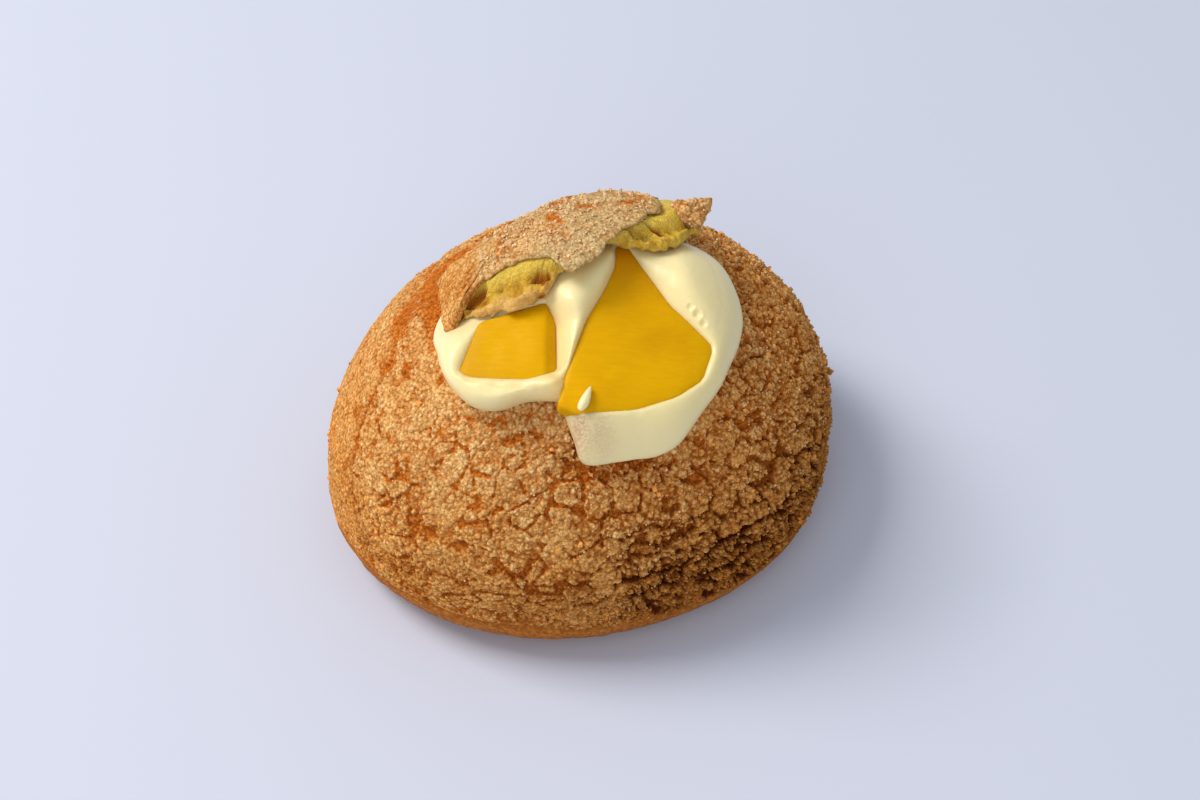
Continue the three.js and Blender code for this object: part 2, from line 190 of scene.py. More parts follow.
def noise(p, size, seed=0):
    """Smooth noise from -1 to 1: the corner values of cubes of the given size, eased across each cube."""
    at = p / size
    home = np.floor(at)
    t = at - home
    t = t * t * (3 - 2 * t)
    total = 0
    for i in (0, 1):
        for j in (0, 1):
            for k in (0, 1):
                corner = np.array([i, j, k])
                weight = np.prod(np.where(corner, t, 1 - t), axis=-1)
                total = total + weight * chance(home + corner, seed)
    return 2 * total - 1


def rough(p, size, octaves, seed=0):
    """Sum of noise at the given size and its halves, each half as strong, from about -1 to 1."""
    parts = [noise(p, size / 2**n, seed + n) / 2**n for n in range(octaves)]
    return sum(parts) / (2 - 2 ** (1 - octaves))


def cells(p, size, seed=0):
    """Distances, in cells, to the nearest and second nearest of one shaken point per cube of that size,
    and the nearest one's own number from 0 to 1."""
    at = p / size
    home = np.floor(at)
    first = np.full(p.shape[:-1], 9.0)
    second = first.copy()
    own = first.copy()
    for i in (-1, 0, 1):
        for j in (-1, 0, 1):
            for k in (-1, 0, 1):
                cube = home + np.array([i, j, k])
                shaken = cube + np.stack([chance(cube, seed + n) for n in range(3)], -1)
                d = np.linalg.norm(at - shaken, axis=-1)
                near = d < first
                second = np.where(near, first, np.minimum(second, d))
                own = np.where(near, chance(cube, seed + 3), own)
                first = np.where(near, d, first)
    return first, second, own


def unit(v):
    """v scaled to length 1."""
    return v / np.maximum(np.linalg.norm(v, axis=-1, keepdims=True), 1e-9)


# ------------------------------------------------------------------ the bun's surface
def bell_round(azimuth, middle, spread):
    """Bell curve of azimuth about a middle, in degrees, the short way round."""
    away = (azimuth - middle + 540) % 360 - 180
    return np.exp(-((away / spread) ** 2))


def swell(x, y):
    """Outward bulge of the bun in mm: a sum of bell curves of azimuth."""
    azimuth = np.degrees(np.arctan2(y, x))
    total = 0
    for middle, spread, amount in SWELLS:
        total = total + amount * bell_round(azimuth, middle, spread)
    return total


def turned(v):
    """v turned about Z by the bun's own turn."""
    c, s = math.cos(TURN), math.sin(TURN)
    return np.stack([v[..., 0] * c - v[..., 1] * s, v[..., 0] * s + v[..., 1] * c, v[..., 2]], -1)


def bun(phi, t, inset=0.0):
    """Points and outward normals of the bun: an ellipse round, a quarter ellipse from waist to crown for
    t from 0 to 90 degrees, and a shallow quarter ellipse down to the foot for t from 0 to -90."""
    a, b = LENGTH / 2 - inset, WIDTH / 2 - inset
    waist = WAIST + (3 if inset else 0)
    high = np.where(t >= 0, HEIGHT - inset - waist, waist - inset)
    r = np.where(t >= 0, np.cos(t), 1 - (1 - FOOT) * (1 - np.cos(t)))
    dr = np.where(t >= 0, -np.sin(t), -(1 - FOOT) * np.sin(t))
    dz = high * np.cos(t)
    p = turned(np.stack([a * r * np.cos(phi), b * r * np.sin(phi), waist + high * np.sin(t)], -1))
    n = unit(turned(np.stack([b * dz * np.cos(phi), a * dz * np.sin(phi), -a * b * dr], -1)))
    return p + n * (swell(p[..., 0], p[..., 1]) * np.cos(t) ** 2)[..., None], n


def crown(x, y):
    """The crown's point and normal over plan position (x, y)."""
    a, b = LENGTH / 2, WIDTH / 2
    c, s = math.cos(TURN), math.sin(TURN)
    u, v = (x * c + y * s) / a, (-x * s + y * c) / b
    z = np.sqrt(np.maximum(0.02, 1 - u * u - v * v))
    rise = HEIGHT - WAIST
    n = unit(np.stack([u * c / a - v * s / b, u * s / a + v * c / b, z / rise], -1))
    p = np.stack([x, y, WAIST + rise * z], -1)
    return p + n * (swell(x, y) * (1 - z * z))[..., None], n


def on_crown(x, y, h):
    """The point h above the crown, along its normal, over plan position (x, y)."""
    p, n = crown(x, y)
    return p + n * np.asarray(h)[..., None]


def rim_angle(phi, outline, inset=0.0):
    """How far up the bun's side, in t, the column phi meets an outline drawn in plan."""
    a, b = LENGTH / 2 - inset, WIDTH / 2 - inset
    c, s = math.cos(TURN), math.sin(TURN)
    u = (outline[:, 0] * c + outline[:, 1] * s) / a
    v = (-outline[:, 0] * s + outline[:, 1] * c) / b
    around = np.arctan2(v, u)
    order = np.argsort(around)
    radius = np.interp(phi, around[order], np.hypot(u, v)[order], period=2 * math.pi)
    return np.arccos(np.clip(radius, 0, 0.999))


# ------------------------------------------------------------------ outlines
def smooth_outline(points, count):
    """A closed Catmull-Rom curve through the points, as count points evenly spaced along it."""
    p = np.array(points, float)
    t = np.linspace(0, 1, 24, endpoint=False)[:, None]
    parts = []
    for i in range(len(p)):
        p0, p1, p2, p3 = (p[(i + k) % len(p)] for k in (-1, 0, 1, 2))
        parts.append(0.5 * (2 * p1 + (p2 - p0) * t + (2 * p0 - 5 * p1 + 4 * p2 - p3) * t**2
                            + (3 * p1 - p0 - 3 * p2 + p3) * t**3))
    return evenly(np.vstack(parts), count)


def cornered_outline(corners, rounding, count):
    """A closed outline of straight sides whose corners are parabola arcs that start rounding mm away."""
    c = np.array(corners, float)
    t = np.linspace(0, 1, 9)[:, None]
    parts = []
    for i in range(len(c)):
        before, after = c[i - 1] - c[i], c[(i + 1) % len(c)] - c[i]
        start = c[i] + before * min(0.45, rounding / np.linalg.norm(before))
        end = c[i] + after * min(0.45, rounding / np.linalg.norm(after))
        parts.append((1 - t) ** 2 * start + 2 * t * (1 - t) * c[i] + t**2 * end)
    return evenly(np.vstack(parts), count)


def evenly(points, count):
    """A closed run of points, anticlockwise, resampled to count points at equal distances."""
    x, y = points.T
    if np.sum(x * np.roll(y, -1) - np.roll(x, -1) * y) < 0:
        points = points[::-1]
    loop = np.vstack([points, points[:1]])
    along = np.concatenate([[0], np.cumsum(np.linalg.norm(np.diff(loop, axis=0), axis=1))])
    at = np.linspace(0, along[-1], count, endpoint=False)
    return np.stack([np.interp(at, along, loop[:, k]) for k in (0, 1)], -1)


def outside(x, y, outline):
    """Distance from (x, y) to a closed outline, negative inside it."""
    p = np.stack([x, y], -1)
    best = np.full(x.shape, 1e9)
    inside = np.zeros(x.shape, bool)
    for a, b in zip(outline, np.roll(outline, -1, axis=0)):
        ab = b - a
        t = np.clip(((p - a) @ ab) / (ab @ ab), 0, 1)
        best = np.minimum(best, np.linalg.norm(p - a - t[..., None] * ab, axis=-1))
        if a[1] != b[1]:
            cross = (a[1] > y) != (b[1] > y)
            inside ^= cross & (x < (b[0] - a[0]) * (y - a[1]) / (b[1] - a[1]) + a[0])
    return np.where(inside, -best, best)


# ------------------------------------------------------------------ meshes
def closed_mesh(name, rings, low, high, **values):
    """A closed mesh from rings of points (rows, columns, 3), listed upwards and each anticlockwise from
    above, with one point closing each end. values are numbers for each point, stored as attributes."""
    rows, cols, _ = rings.shape
    verts = np.vstack([low[None], rings.reshape(-1, 3), high[None]])
    at = 1 + np.arange(rows * cols).reshape(rows, cols)
    beside = np.roll(at, -1, axis=1)
    quads = np.stack([at[:-1], beside[:-1], beside[1:], at[1:]], -1).reshape(-1, 4)
    last = len(verts) - 1
    ends = np.vstack([
        np.stack([np.zeros(cols, int), beside[0], at[0]], -1),
        np.stack([np.full(cols, last), at[-1], beside[-1]], -1),
    ])
    return new_mesh(name, verts, quads, ends, {
        k: np.concatenate([[v[0].mean()], v.ravel(), [v[-1].mean()]]) for k, v in values.items()
    })


def new_mesh(name, verts, quads, tris, values):
    """A smooth-shaded object in the scene from points in mm, four-sided and three-sided faces."""
    mesh = bpy.data.meshes.new(name)
    mesh.vertices.add(len(verts))
    mesh.vertices.foreach_set("co", (verts * MM).astype(np.float32).ravel())
    corners = np.concatenate([quads.ravel(), tris.ravel()]).astype(np.int32)
    mesh.loops.add(len(corners))
    mesh.loops.foreach_set("vertex_index", corners)
    starts = np.concatenate([np.arange(len(quads)) * 4, len(quads) * 4 + np.arange(len(tris)) * 3])
    mesh.polygons.add(len(starts))
    mesh.polygons.foreach_set("loop_start", starts.astype(np.int32))
    for key, value in values.items():
        mesh.attributes.new(key, "FLOAT", "POINT").data.foreach_set("value", value.astype(np.float32))
    mesh.update(calc_edges=True)
    mesh.validate()
    mesh.polygons.foreach_set("use_smooth", np.ones(len(mesh.polygons), bool))
    piece = bpy.data.objects.new(name, mesh)
    bpy.context.scene.collection.objects.link(piece)
    return piece


def finish_piece(piece, finish, slot, *nodes):
    """Gives a piece the material named finish and its body, and hides the solids it stands for.
    slot is not used.
    """
    piece.data.materials.append(bpy.data.materials[finish])
    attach(piece, "root")
    if nodes:
        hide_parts(*nodes)
    return piece


# ------------------------------------------------------------------ relief of the cookie crust
def azimuth_of(p):
    """Direction of p about the Z axis in degrees, from -180 to 180."""
    return np.degrees(np.arctan2(p[..., 1], p[..., 0]))


def coarseness(p):
    """From 0 on the left, where the crust lies in flat plates, to 1 on the right and low down, where it
    has broken up into lumps."""
    azimuth = azimuth_of(p)
    side = smoothstep(-125, -60, azimuth) * (1 - smoothstep(70, 130, azimuth))
    return np.clip(0.8 * side + 0.3 * smoothstep(30, 14, p[..., 2]) + 0.15 * noise(p, 9.0, 19), 0, 1)


def crust_relief(p, nugget, coarse):
    """Height in mm of the cookie crust over its mean surface at rest position p, how deep in a crack it
    is, the tone of its lump, and how near it is to a lump's top. Plates are the cells of a bent lattice,
    parted by frayed cracks that come and go; each plate is made of soft lumps, and each lump of sugary
    grains. The lattice is squeezed flat near the waist, where the cracks run level."""
    bend = np.stack([noise(p, 6.0, k) for k in (11, 23, 37)], -1)
    fray = 0.55 * noise(p, 1.15, 12) + 0.40 * noise(p, 0.55, 13) + 0.25 * noise(p, 0.32, 14)
    q = p + 0.9 * bend
    q = np.stack([q[..., 0], q[..., 1], q[..., 2] + 0.9 * np.minimum(q[..., 2], 15)], -1)
    # Cracks: where the two nearest plates are about as far away, frayed, and shut here and there.
    f1, f2, plate = cells(q, nugget)
    line = (f2 - f1) * nugget / 2 + 0.34 * fray
    width = 0.03 + 0.13 * smoothstep(-0.1, 0.9, noise(p, 5.0, 5) + 0.5 * coarse)
    open_here = smoothstep(-0.35, 0.35, noise(p, 3.2, 6) + 0.5 * noise(p, 1.3, 8) + 0.3 * coarse)
    crack = (1 - smoothstep(0.2 * width, width + 0.16, line)) * open_here
    # Lumps and the seams between them, and the grains.
    g1, g2, lump = cells(q, LUMP_SHARE * nugget, 50)
    apart = g2 - g1 + 0.24 * fray
    seam = (1 - smoothstep(0.0, 0.30, apart)) * smoothstep(-0.5, 0.25, noise(p, 2.6, 7) + 0.40 * coarse)
    e1, e2, own = cells(p, GRAIN_WIDTH, 80)
    grain = smoothstep(0.0, 0.5, e2 - e1) * (0.5 + 0.5 * own)
    # All of them cut deeper and stand higher where the crust is coarse.
    height = -(0.30 + 0.60 * coarse) * crack - (0.12 + 0.22 * coarse) * seam
    height = height + (0.10 + 0.20 * coarse) * (smoothstep(0.0, 0.6, apart) - 0.7)
    height = height + (0.10 + 0.22 * coarse) * (lump - 0.5) * smoothstep(0.0, 0.4, apart)
    height = height + 0.20 * (grain - 0.45)
    peak = smoothstep(-0.10, 0.22, height)
    height = height + 0.20 * rough(p, 11.0, 2, 70) + (0.13 + 0.19 * coarse) * (plate - 0.5)
    deep = np.clip(crack + (0.50 + 0.12 * coarse) * seam + 0.10 * (1 - grain), 0, 1)
    return height, deep, 0.55 * lump + 0.45 * plate, peak


def side_splits(p):
    """Long dark splits round the lower right of the crust: thin lines at three wandering heights."""
    azimuth = azimuth_of(p)
    where = smoothstep(-92, -68, azimuth) * (1 - smoothstep(-22, -6, azimuth))
    total = 0
    for k, level in enumerate(SPLIT_LEVELS):
        run = np.stack([azimuth / 9, 0 * azimuth + k, 0 * azimuth], -1)
        line = level + 1.2 * noise(run, 1.0, 90 + k) + 0.5 * noise(p, 1.6, 95 + k)
        broken = smoothstep(-0.05, 0.45, noise(1.4 * run + 5.0, 1.0, 60 + k) + 0.5 * noise(p, 2.0, 65))
        total = total + np.exp(-(((p[..., 2] - line) / 0.36) ** 2)) * broken
    return np.clip(total * where, 0, 1)


def hem(p):
    """Height above the crust's lower edge, which wanders."""
    level = np.interp(azimuth_of(p), *np.array(CRUST_HEM, float).T)
    return p[..., 2] - level - 0.8 * noise(p, 5.0, 41) - 0.35 * noise(p, 1.8, 43)


def slip(p):
    """Height above the line on the left where the crust has split."""
    level = np.interp(azimuth_of(p), *np.array(SLIP_LINE, float).T)
    return p[..., 2] - level - 1.3 * noise(p, 6.0, 45) - 0.5 * noise(p, 2.2, 46)


def toasting(p):
    """How browned the crust is: more low down on the right side and a little all round the waist."""
    side = bell_round(azimuth_of(p), *BROWN_SIDE)
    low = smoothstep(34, 13, p[..., 2])
    foot = smoothstep(21, 11, p[..., 2])
    brown = side * (0.16 + 0.34 * low + 0.28 * foot) + 0.12 * low + 0.03 * foot
    return np.clip(brown + 0.15 * rough(p, 9.0, 2, 17), 0, 1)


# ------------------------------------------------------------------ lid
def lid_lift(x, y):
    """How far the lid's outside stands above the crown: sunk in it along the hinge, which runs aslant
    behind, rising in a bulge to the torn lip, and lower towards the left end."""
    hinge = np.minimum(LID["hinge"], LID["hinge_middle"] + LID["slant"] * x)
    opened = np.clip((hinge - y) / (hinge - LID["lip"]), 0, 1)
    along = np.clip((LID["high"] - x) / (LID["high"] - LID["low"]), 0, 1.05)
    rise = 1 - (1 - opened) ** 2
    sunk = LID["tuck"] * (1 - smoothstep(0, 0.1, opened))
    return LID["lift"] * rise * (1 - LID["droop"] * along**2) - sunk


def lid_floor(x, y):
    """Height of the underside of the lid's crumb above the crown."""
    lift = lid_lift(x, y)
    return lift - LID["crust"] - LID["crumb"] * np.clip(lift / LID["lift"], 0.3, 1)


# ------------------------------------------------------------------ flat pieces
def plane_of(piece):
    """Origin, across, along and facing of a flat piece's own plane."""
    facing = unit(np.array(piece["facing"], float))
    across = unit(np.array([1.0, 0, 0]) - facing[0] * facing)
    return np.array(piece["origin"], float), across, np.cross(facing, across), facing


def height_over_crown(piece, x, y):
    """How far above the crown, along its normal, the flat piece's plane lies over plan (x, y)."""
    origin, _, _, facing = plane_of(piece)
    p, n = crown(x, y)
    return ((origin - p) @ facing) / np.maximum(n @ facing, 0.2)


def footprint(piece, count=60):
    """In plan, the feet on the crown of the crown's normals that pass through a flat piece's outline."""
    origin, across, along, _ = plane_of(piece)
    o = cornered_outline(piece["corners"], piece["rounding"], count)
    points = origin + o[:, :1] * across + o[:, 1:] * along
    feet = points[:, :2]
    for _ in range(8):
        p, n = crown(*feet.T)
        feet = points[:, :2] - n[:, :2] * np.sum((points - p) * n, axis=-1, keepdims=True)
    return feet


# ------------------------------------------------------------------ materials
def socket(tree, name, kind, out=False, default=None):
    """A named input or output of a shader group."""
    s = tree.interface.new_socket(name=name, in_out="OUTPUT" if out else "INPUT", socket_type=kind)
    if default is not None:
        s.default_value = default
    return s


class Graph:
    """Short ways to place and join shader nodes in one tree."""

    def __init__(self, tree):
        self.tree = tree

    def node(self, kind, settings=None, **inputs):
        """A shader node of a kind, with its settings, and its inputs set or joined by name."""
        n = self.tree.nodes.new("ShaderNode" + kind)
        for key, value in (settings or {}).items():
            setattr(n, key, value)
        for key, value in inputs.items():
            self.put(n, key.replace("_", " "), value)
        return n

    def put(self, n, key, value):
        """Joins a socket to a node's input, or sets the input to a plain value."""
        target = n.inputs[key]
        if isinstance(value, bpy.types.NodeSocket):
            self.tree.links.new(value, target)
        else:
            target.default_value = value

    def mix(self, share, a, b, blend="MIX"):
        """Colour a with the given share of colour b."""
        n = self.tree.nodes.new("ShaderNodeMix")
        n.data_type = "RGBA"
        n.blend_type = blend
        for index, value in ((0, share), (6, a), (7, b)):
            self.put(n, index, value)
        return n.outputs[2]

    def maths(self, operation, a, b):
        """The sum, product or other operation on two numbers."""
        n = self.tree.nodes.new("ShaderNodeMath")
        n.operation = operation
        self.put(n, 0, a)
        self.put(n, 1, b)
        return n.outputs[0]

    def ramp(self, value, low, high, to_low=0.0, to_high=1.0):
        """A smooth step from to_low to to_high as value goes from low to high."""
        n = self.tree.nodes.new("ShaderNodeMapRange")
        n.interpolation_type = "SMOOTHSTEP"
        for key, v in (("Value", value), ("From Min", low), ("From Max", high),
                       ("To Min", to_low), ("To Max", to_high)):
            self.put(n, key, v)
        return n.outputs[0]

    def grey(self, level):
        """The grey colour of that level."""
        return self.node("CombineColor", Red=level, Green=level, Blue=level).outputs[0]

    def attribute(self, name):
        """The number that a mesh keeps for each of its points under that name."""
        return self.node("Attribute", {"attribute_name": name}).outputs["Fac"]

    def position(self):
        """The place on the piece, in the piece's own coordinates."""
        return self.node("TexCoord").outputs["Object"]


def sugar_sand_group():
    """Sand-like grains of one size: a tint that differs from grain to grain, with painted shade in the
    hollows between the grains, warmer where darker, and the grains' height."""
    tree = bpy.data.node_groups.new("Sugar sand", "ShaderNodeTree")
    socket(tree, "Position", "NodeSocketVector")
    socket(tree, "Grain size", "NodeSocketFloat", default=0.0005)
    socket(tree, "Contrast", "NodeSocketFloat", default=0.5)
    socket(tree, "Tint", "NodeSocketColor", out=True)
    socket(tree, "Height", "NodeSocketFloat", out=True)
    g = Graph(tree)
    given = tree.nodes.new("NodeGroupInput").outputs
    result = tree.nodes.new("NodeGroupOutput")
    density = g.maths("DIVIDE", 1.0, given["Grain size"])
    grains = g.node("TexVoronoi", Vector=given["Position"], Scale=density, Randomness=1.0)
    finer = g.maths("MULTIPLY", density, 2.1)
    fine = g.node("TexVoronoi", Vector=given["Position"], Scale=finer, Randomness=1.0)
    apart = g.node("SeparateColor", Color=grains.outputs["Color"]).outputs[0]
    speck = g.node("SeparateColor", Color=fine.outputs["Color"]).outputs[1]
    shade = g.maths("ADD", g.maths("MULTIPLY", apart, 0.6), g.maths("MULTIPLY", speck, 0.4))
    # Painted shade: the tint darkens towards the hollows between the grains.
    hollow = g.ramp(grains.outputs["Distance"], 0.3, 0.8, 0.10, -0.35)
    level = g.maths("ADD", g.ramp(shade, 0.0, 1.0, 0.72, 1.28), hollow)
    green, blue = g.maths("POWER", level, 1.5), g.maths("POWER", level, 2.2)
    warm = g.node("CombineColor", Red=level, Green=green, Blue=blue).outputs[0]
    g.put(result, "Tint", g.mix(given["Contrast"], (1, 1, 1, 1), warm))
    rise = g.maths("ADD", g.maths("MULTIPLY", grains.outputs["Distance"], -0.7),
                   g.maths("MULTIPLY", fine.outputs["Distance"], -0.3))
    g.put(result, "Height", rise)
    return tree


def mottle_group():
    """Two soft patchy masks of different sizes and a fine speckle, all from 0 to 1."""
    tree = bpy.data.node_groups.new("Mottle", "ShaderNodeTree")
    socket(tree, "Position", "NodeSocketVector")
    socket(tree, "Patch size", "NodeSocketFloat", default=0.008)
    socket(tree, "Large", "NodeSocketFloat", out=True)
    socket(tree, "Small", "NodeSocketFloat", out=True)
    socket(tree, "Speckle", "NodeSocketFloat", out=True)
    g = Graph(tree)
    given = tree.nodes.new("NodeGroupInput").outputs
    result = tree.nodes.new("NodeGroupOutput")
    density = g.maths("DIVIDE", 1.0, given["Patch size"])
    for name, times, detail in (("Large", 1.0, 2.0), ("Small", 3.7, 3.0), ("Speckle", 17.0, 2.0)):
        scale = g.maths("MULTIPLY", density, times)
        n = g.node("TexNoise", Vector=given["Position"], Scale=scale, Detail=detail)
        g.put(result, name, g.ramp(n.outputs["Fac"], 0.32, 0.68))
    return tree


def material(name, roughness, **constants):
    """A new material, its graph and its shader, with constant sockets set by name."""
    m = bpy.data.materials.new(name)
    m.use_nodes = True
    g = Graph(m.node_tree)
    shader = m.node_tree.nodes["Principled BSDF"]
    shader.inputs["Roughness"].default_value = roughness
    for key, value in constants.items():
        shader.inputs[key.replace("_", " ")].default_value = value
    return m, g, shader


def use_group(g, tree, **inputs):
    """A shader group placed in a material, with its inputs set or joined by name."""
    n = g.tree.nodes.new("ShaderNodeGroup")
    n.node_tree = tree
    for key, value in inputs.items():
        g.put(n, key.replace("_", " "), value)
    return n


def bumped(g, shader, height, distance, strength):
    """Joins a height to the shader's normal as a bump."""
    bump = g.node("Bump", Height=height, Distance=distance, Strength=strength)
    g.put(shader, "Normal", bump.outputs[0])


def cookie_material(groups, settings):
    """Cookie crust: sandy lumps with sugary paler tops that are also a painted highlight, orange in the
    cracks, browner where toasted, and darker brown in the lower right's cracks as painted shade.
    """
    m, g, shader = material("Cookie crust", 0.8, Specular_IOR_Level=0.05)
    here = g.position()
    crack, toast, pale, tone, peak = (g.attribute(k) for k in ("crack", "toast", "pale", "tone", "peak"))
    contrast = g.ramp(pale, 0.1, 0.9, 0.85, 0.65)
    sand = use_group(g, groups["sand"], Position=here, Grain_size=0.0005, Contrast=contrast)
    mottle = use_group(g, groups["mottle"], Position=here, Patch_size=0.009)
    share = g.maths("ADD", g.maths("MULTIPLY", mottle.outputs["Small"], 0.3), g.maths("MULTIPLY", tone, 0.7))
    body = g.mix(share, settings.crust_tan, settings.crust_pale)
    body = g.mix(g.maths("MULTIPLY", mottle.outputs["Large"], 0.35), body, settings.crust_gold)
    body = g.mix(g.maths("MULTIPLY", pale, 0.85), body, settings.crust_sugar)
    # Painted highlight as well as sugar: the lump tops are painted paler, most high up and least on the
    # right.
    body = g.mix(g.maths("MULTIPLY", peak, 0.6), body, settings.crust_tip)
    body = g.mix(g.maths("MULTIPLY", toast, 0.85), body, settings.crust_toast)
    deep = g.mix(toast, settings.crack_orange, settings.crack_brown)
    body = g.mix(g.ramp(crack, 0.05, 0.85), body, deep)
    g.put(shader, "Base Color", g.mix(1.0, body, sand.outputs["Tint"], "MULTIPLY"))
    bumped(g, shader, sand.outputs["Height"], 0.0003, 0.7)
    return m


def choux_material(groups, settings):
    """Choux skin: smooth golden brown, mottled, deep orange in the crust's cracks."""
    m, g, shader = material("Choux skin", 0.6, Specular_IOR_Level=0.1)
    here = g.position()
    mottle = use_group(g, groups["mottle"], Position=here, Patch_size=0.007)
    sand = use_group(g, groups["sand"], Position=here, Grain_size=0.0006, Contrast=0.6)
    bare, toast = g.attribute("bare"), g.attribute("toast")
    under = g.mix(toast, settings.crack_orange, settings.crack_brown)
    skin = g.mix(mottle.outputs["Small"], settings.choux_gold, settings.choux_tan)
    skin = g.mix(g.maths("MULTIPLY", mottle.outputs["Large"], 0.5), skin, settings.crack_orange)
    skin = g.mix(g.maths("MULTIPLY", toast, 0.6), skin, settings.choux_brown)
    skin = g.mix(1.0, skin, sand.outputs["Tint"], "MULTIPLY")
    g.put(shader, "Base Color", g.mix(bare, under, skin))
    lumps = g.maths("ADD", mottle.outputs["Speckle"], g.maths("MULTIPLY", mottle.outputs["Small"], 2.0))
    bumped(g, shader, lumps, 0.00025, 0.5)
    return m


def crumb_material(groups, settings):
    """Torn crumb: yellow walls, paler by the brow, painted shade in the caves and hollows, tan along the
    lower lip.
    """
    m, g, shader = material("Crumb", 0.6, Specular_IOR_Level=0.1, Subsurface_Weight=0.15,
                            Subsurface_Scale=0.002)
    here = g.position()
    mottle = use_group(g, groups["mottle"], Position=here, Patch_size=0.004)
    sand = use_group(g, groups["sand"], Position=here, Grain_size=0.0006, Contrast=0.25)
    cave, lip = g.attribute("cave"), g.attribute("lip")
    wall = g.mix(mottle.outputs["Small"], settings.crumb_yellow, settings.crumb_pale)
    wall = g.mix(g.maths("MULTIPLY", mottle.outputs["Large"], 0.35), wall, settings.crumb_gold)
    wall = g.mix(g.ramp(g.attribute("depth"), 0.05, 0.55, 0.75, 0.0), wall, settings.crumb_pale)
    wall = g.mix(g.maths("MULTIPLY", lip, 0.7), wall, settings.crust_pale)
    # Painted shade: the caves, bubbles and dark band are painted brown.
    wall = g.mix(g.ramp(cave, 0.15, 0.9), wall, settings.crumb_cave_shade)
    g.put(shader, "Base Color", g.mix(1.0, wall, sand.outputs["Tint"], "MULTIPLY"))
    bumped(g, shader, mottle.outputs["Speckle"], 0.0003, 0.6)
    return m


def cream_material(groups, settings):
    """Custard cream: smooth pale ivory with a soft sheen, brownish where stained, and peach beside the fruit
    and in the gap between the pieces, as painted reflection of the fruit and painted shade.
    """
    m, g, shader = material("Cream", 0.32, Specular_IOR_Level=0.45, Subsurface_Weight=0.35,
                            Subsurface_Scale=0.004, Subsurface_Radius=(1.0, 0.75, 0.4))
    here = g.position()
    mottle = use_group(g, groups["mottle"], Position=here, Patch_size=0.006)
    stain = g.attribute("stain")
    patches = g.maths("MULTIPLY", mottle.outputs["Large"], 0.3)
    body = g.mix(patches, settings.cream_ivory, settings.cream_yellow)
    spots = g.maths("MULTIPLY", stain, g.ramp(mottle.outputs["Speckle"], 0.0, 1.0, 0.55, 1.0))
    # Painted reflected light of the fruit, and painted shade in the gap between the pieces.
    body = g.mix(g.attribute("glow"), body, settings.cream_peach)
    g.put(shader, "Base Color", g.mix(spots, body, settings.cream_stain))
    bumped(g, shader, mottle.outputs["Small"], 0.0002, 0.15)
    return m


def mango_material(groups, settings):
    """Mango flesh: yellow, orange towards the tip as painted shade of the lid, moist, with fine fibres across
    the piece.
    """
    m, g, shader = material("Mango", 0.38, Specular_IOR_Level=0.05, Subsurface_Weight=0.3,
                            Subsurface_Scale=0.003, Subsurface_Radius=(1.0, 0.5, 0.1))
    here = g.position()
    mottle = use_group(g, groups["mottle"], Position=here, Patch_size=0.012)
    squeezed = g.node("Mapping", Vector=here, Rotation=(0.2, 0.0, 0.35), Scale=(220, 2400, 2400))
    fibres = g.node("TexNoise", Vector=squeezed.outputs[0], Scale=1.0, Detail=2.0).outputs["Fac"]
    body = g.mix(mottle.outputs["Large"], settings.mango_yellow, settings.mango_orange)
    # Painted shade: deeper orange towards the tip, under the lid, and down the sides.
    body = g.mix(g.attribute("deep"), body, settings.mango_deep_shade)
    shade = g.grey(g.ramp(fibres, 0.35, 0.65, 0.97, 1.02))
    g.put(shader, "Base Color", g.mix(1.0, body, shade, "MULTIPLY"))
    bumped(g, shader, fibres, 0.00008, 0.35)
    return m


def grain_material(name, settings, tint, roughness, spread):
    """Loose grains: one tint, lighter or darker from grain to grain, browner where the crust is."""
    m, g, shader = material(name, roughness, Specular_IOR_Level=0.1)
    shade = g.grey(g.ramp(g.attribute("tone"), 0.0, 1.0, 1 - spread, 1 + spread))
    body = g.mix(g.maths("MULTIPLY", g.attribute("toast"), 0.75), tint, settings.crust_toast)
    g.put(shader, "Base Color", g.mix(1.0, body, shade, "MULTIPLY"))
    return m


# ------------------------------------------------------------------ settings
def colour(name, description, value):
    """A colour setting, its value in linear red, green and blue."""
    return FloatVectorProperty(name=name, description=description, subtype="COLOR", size=4,
                               min=0, max=1, default=(*value, 1.0))


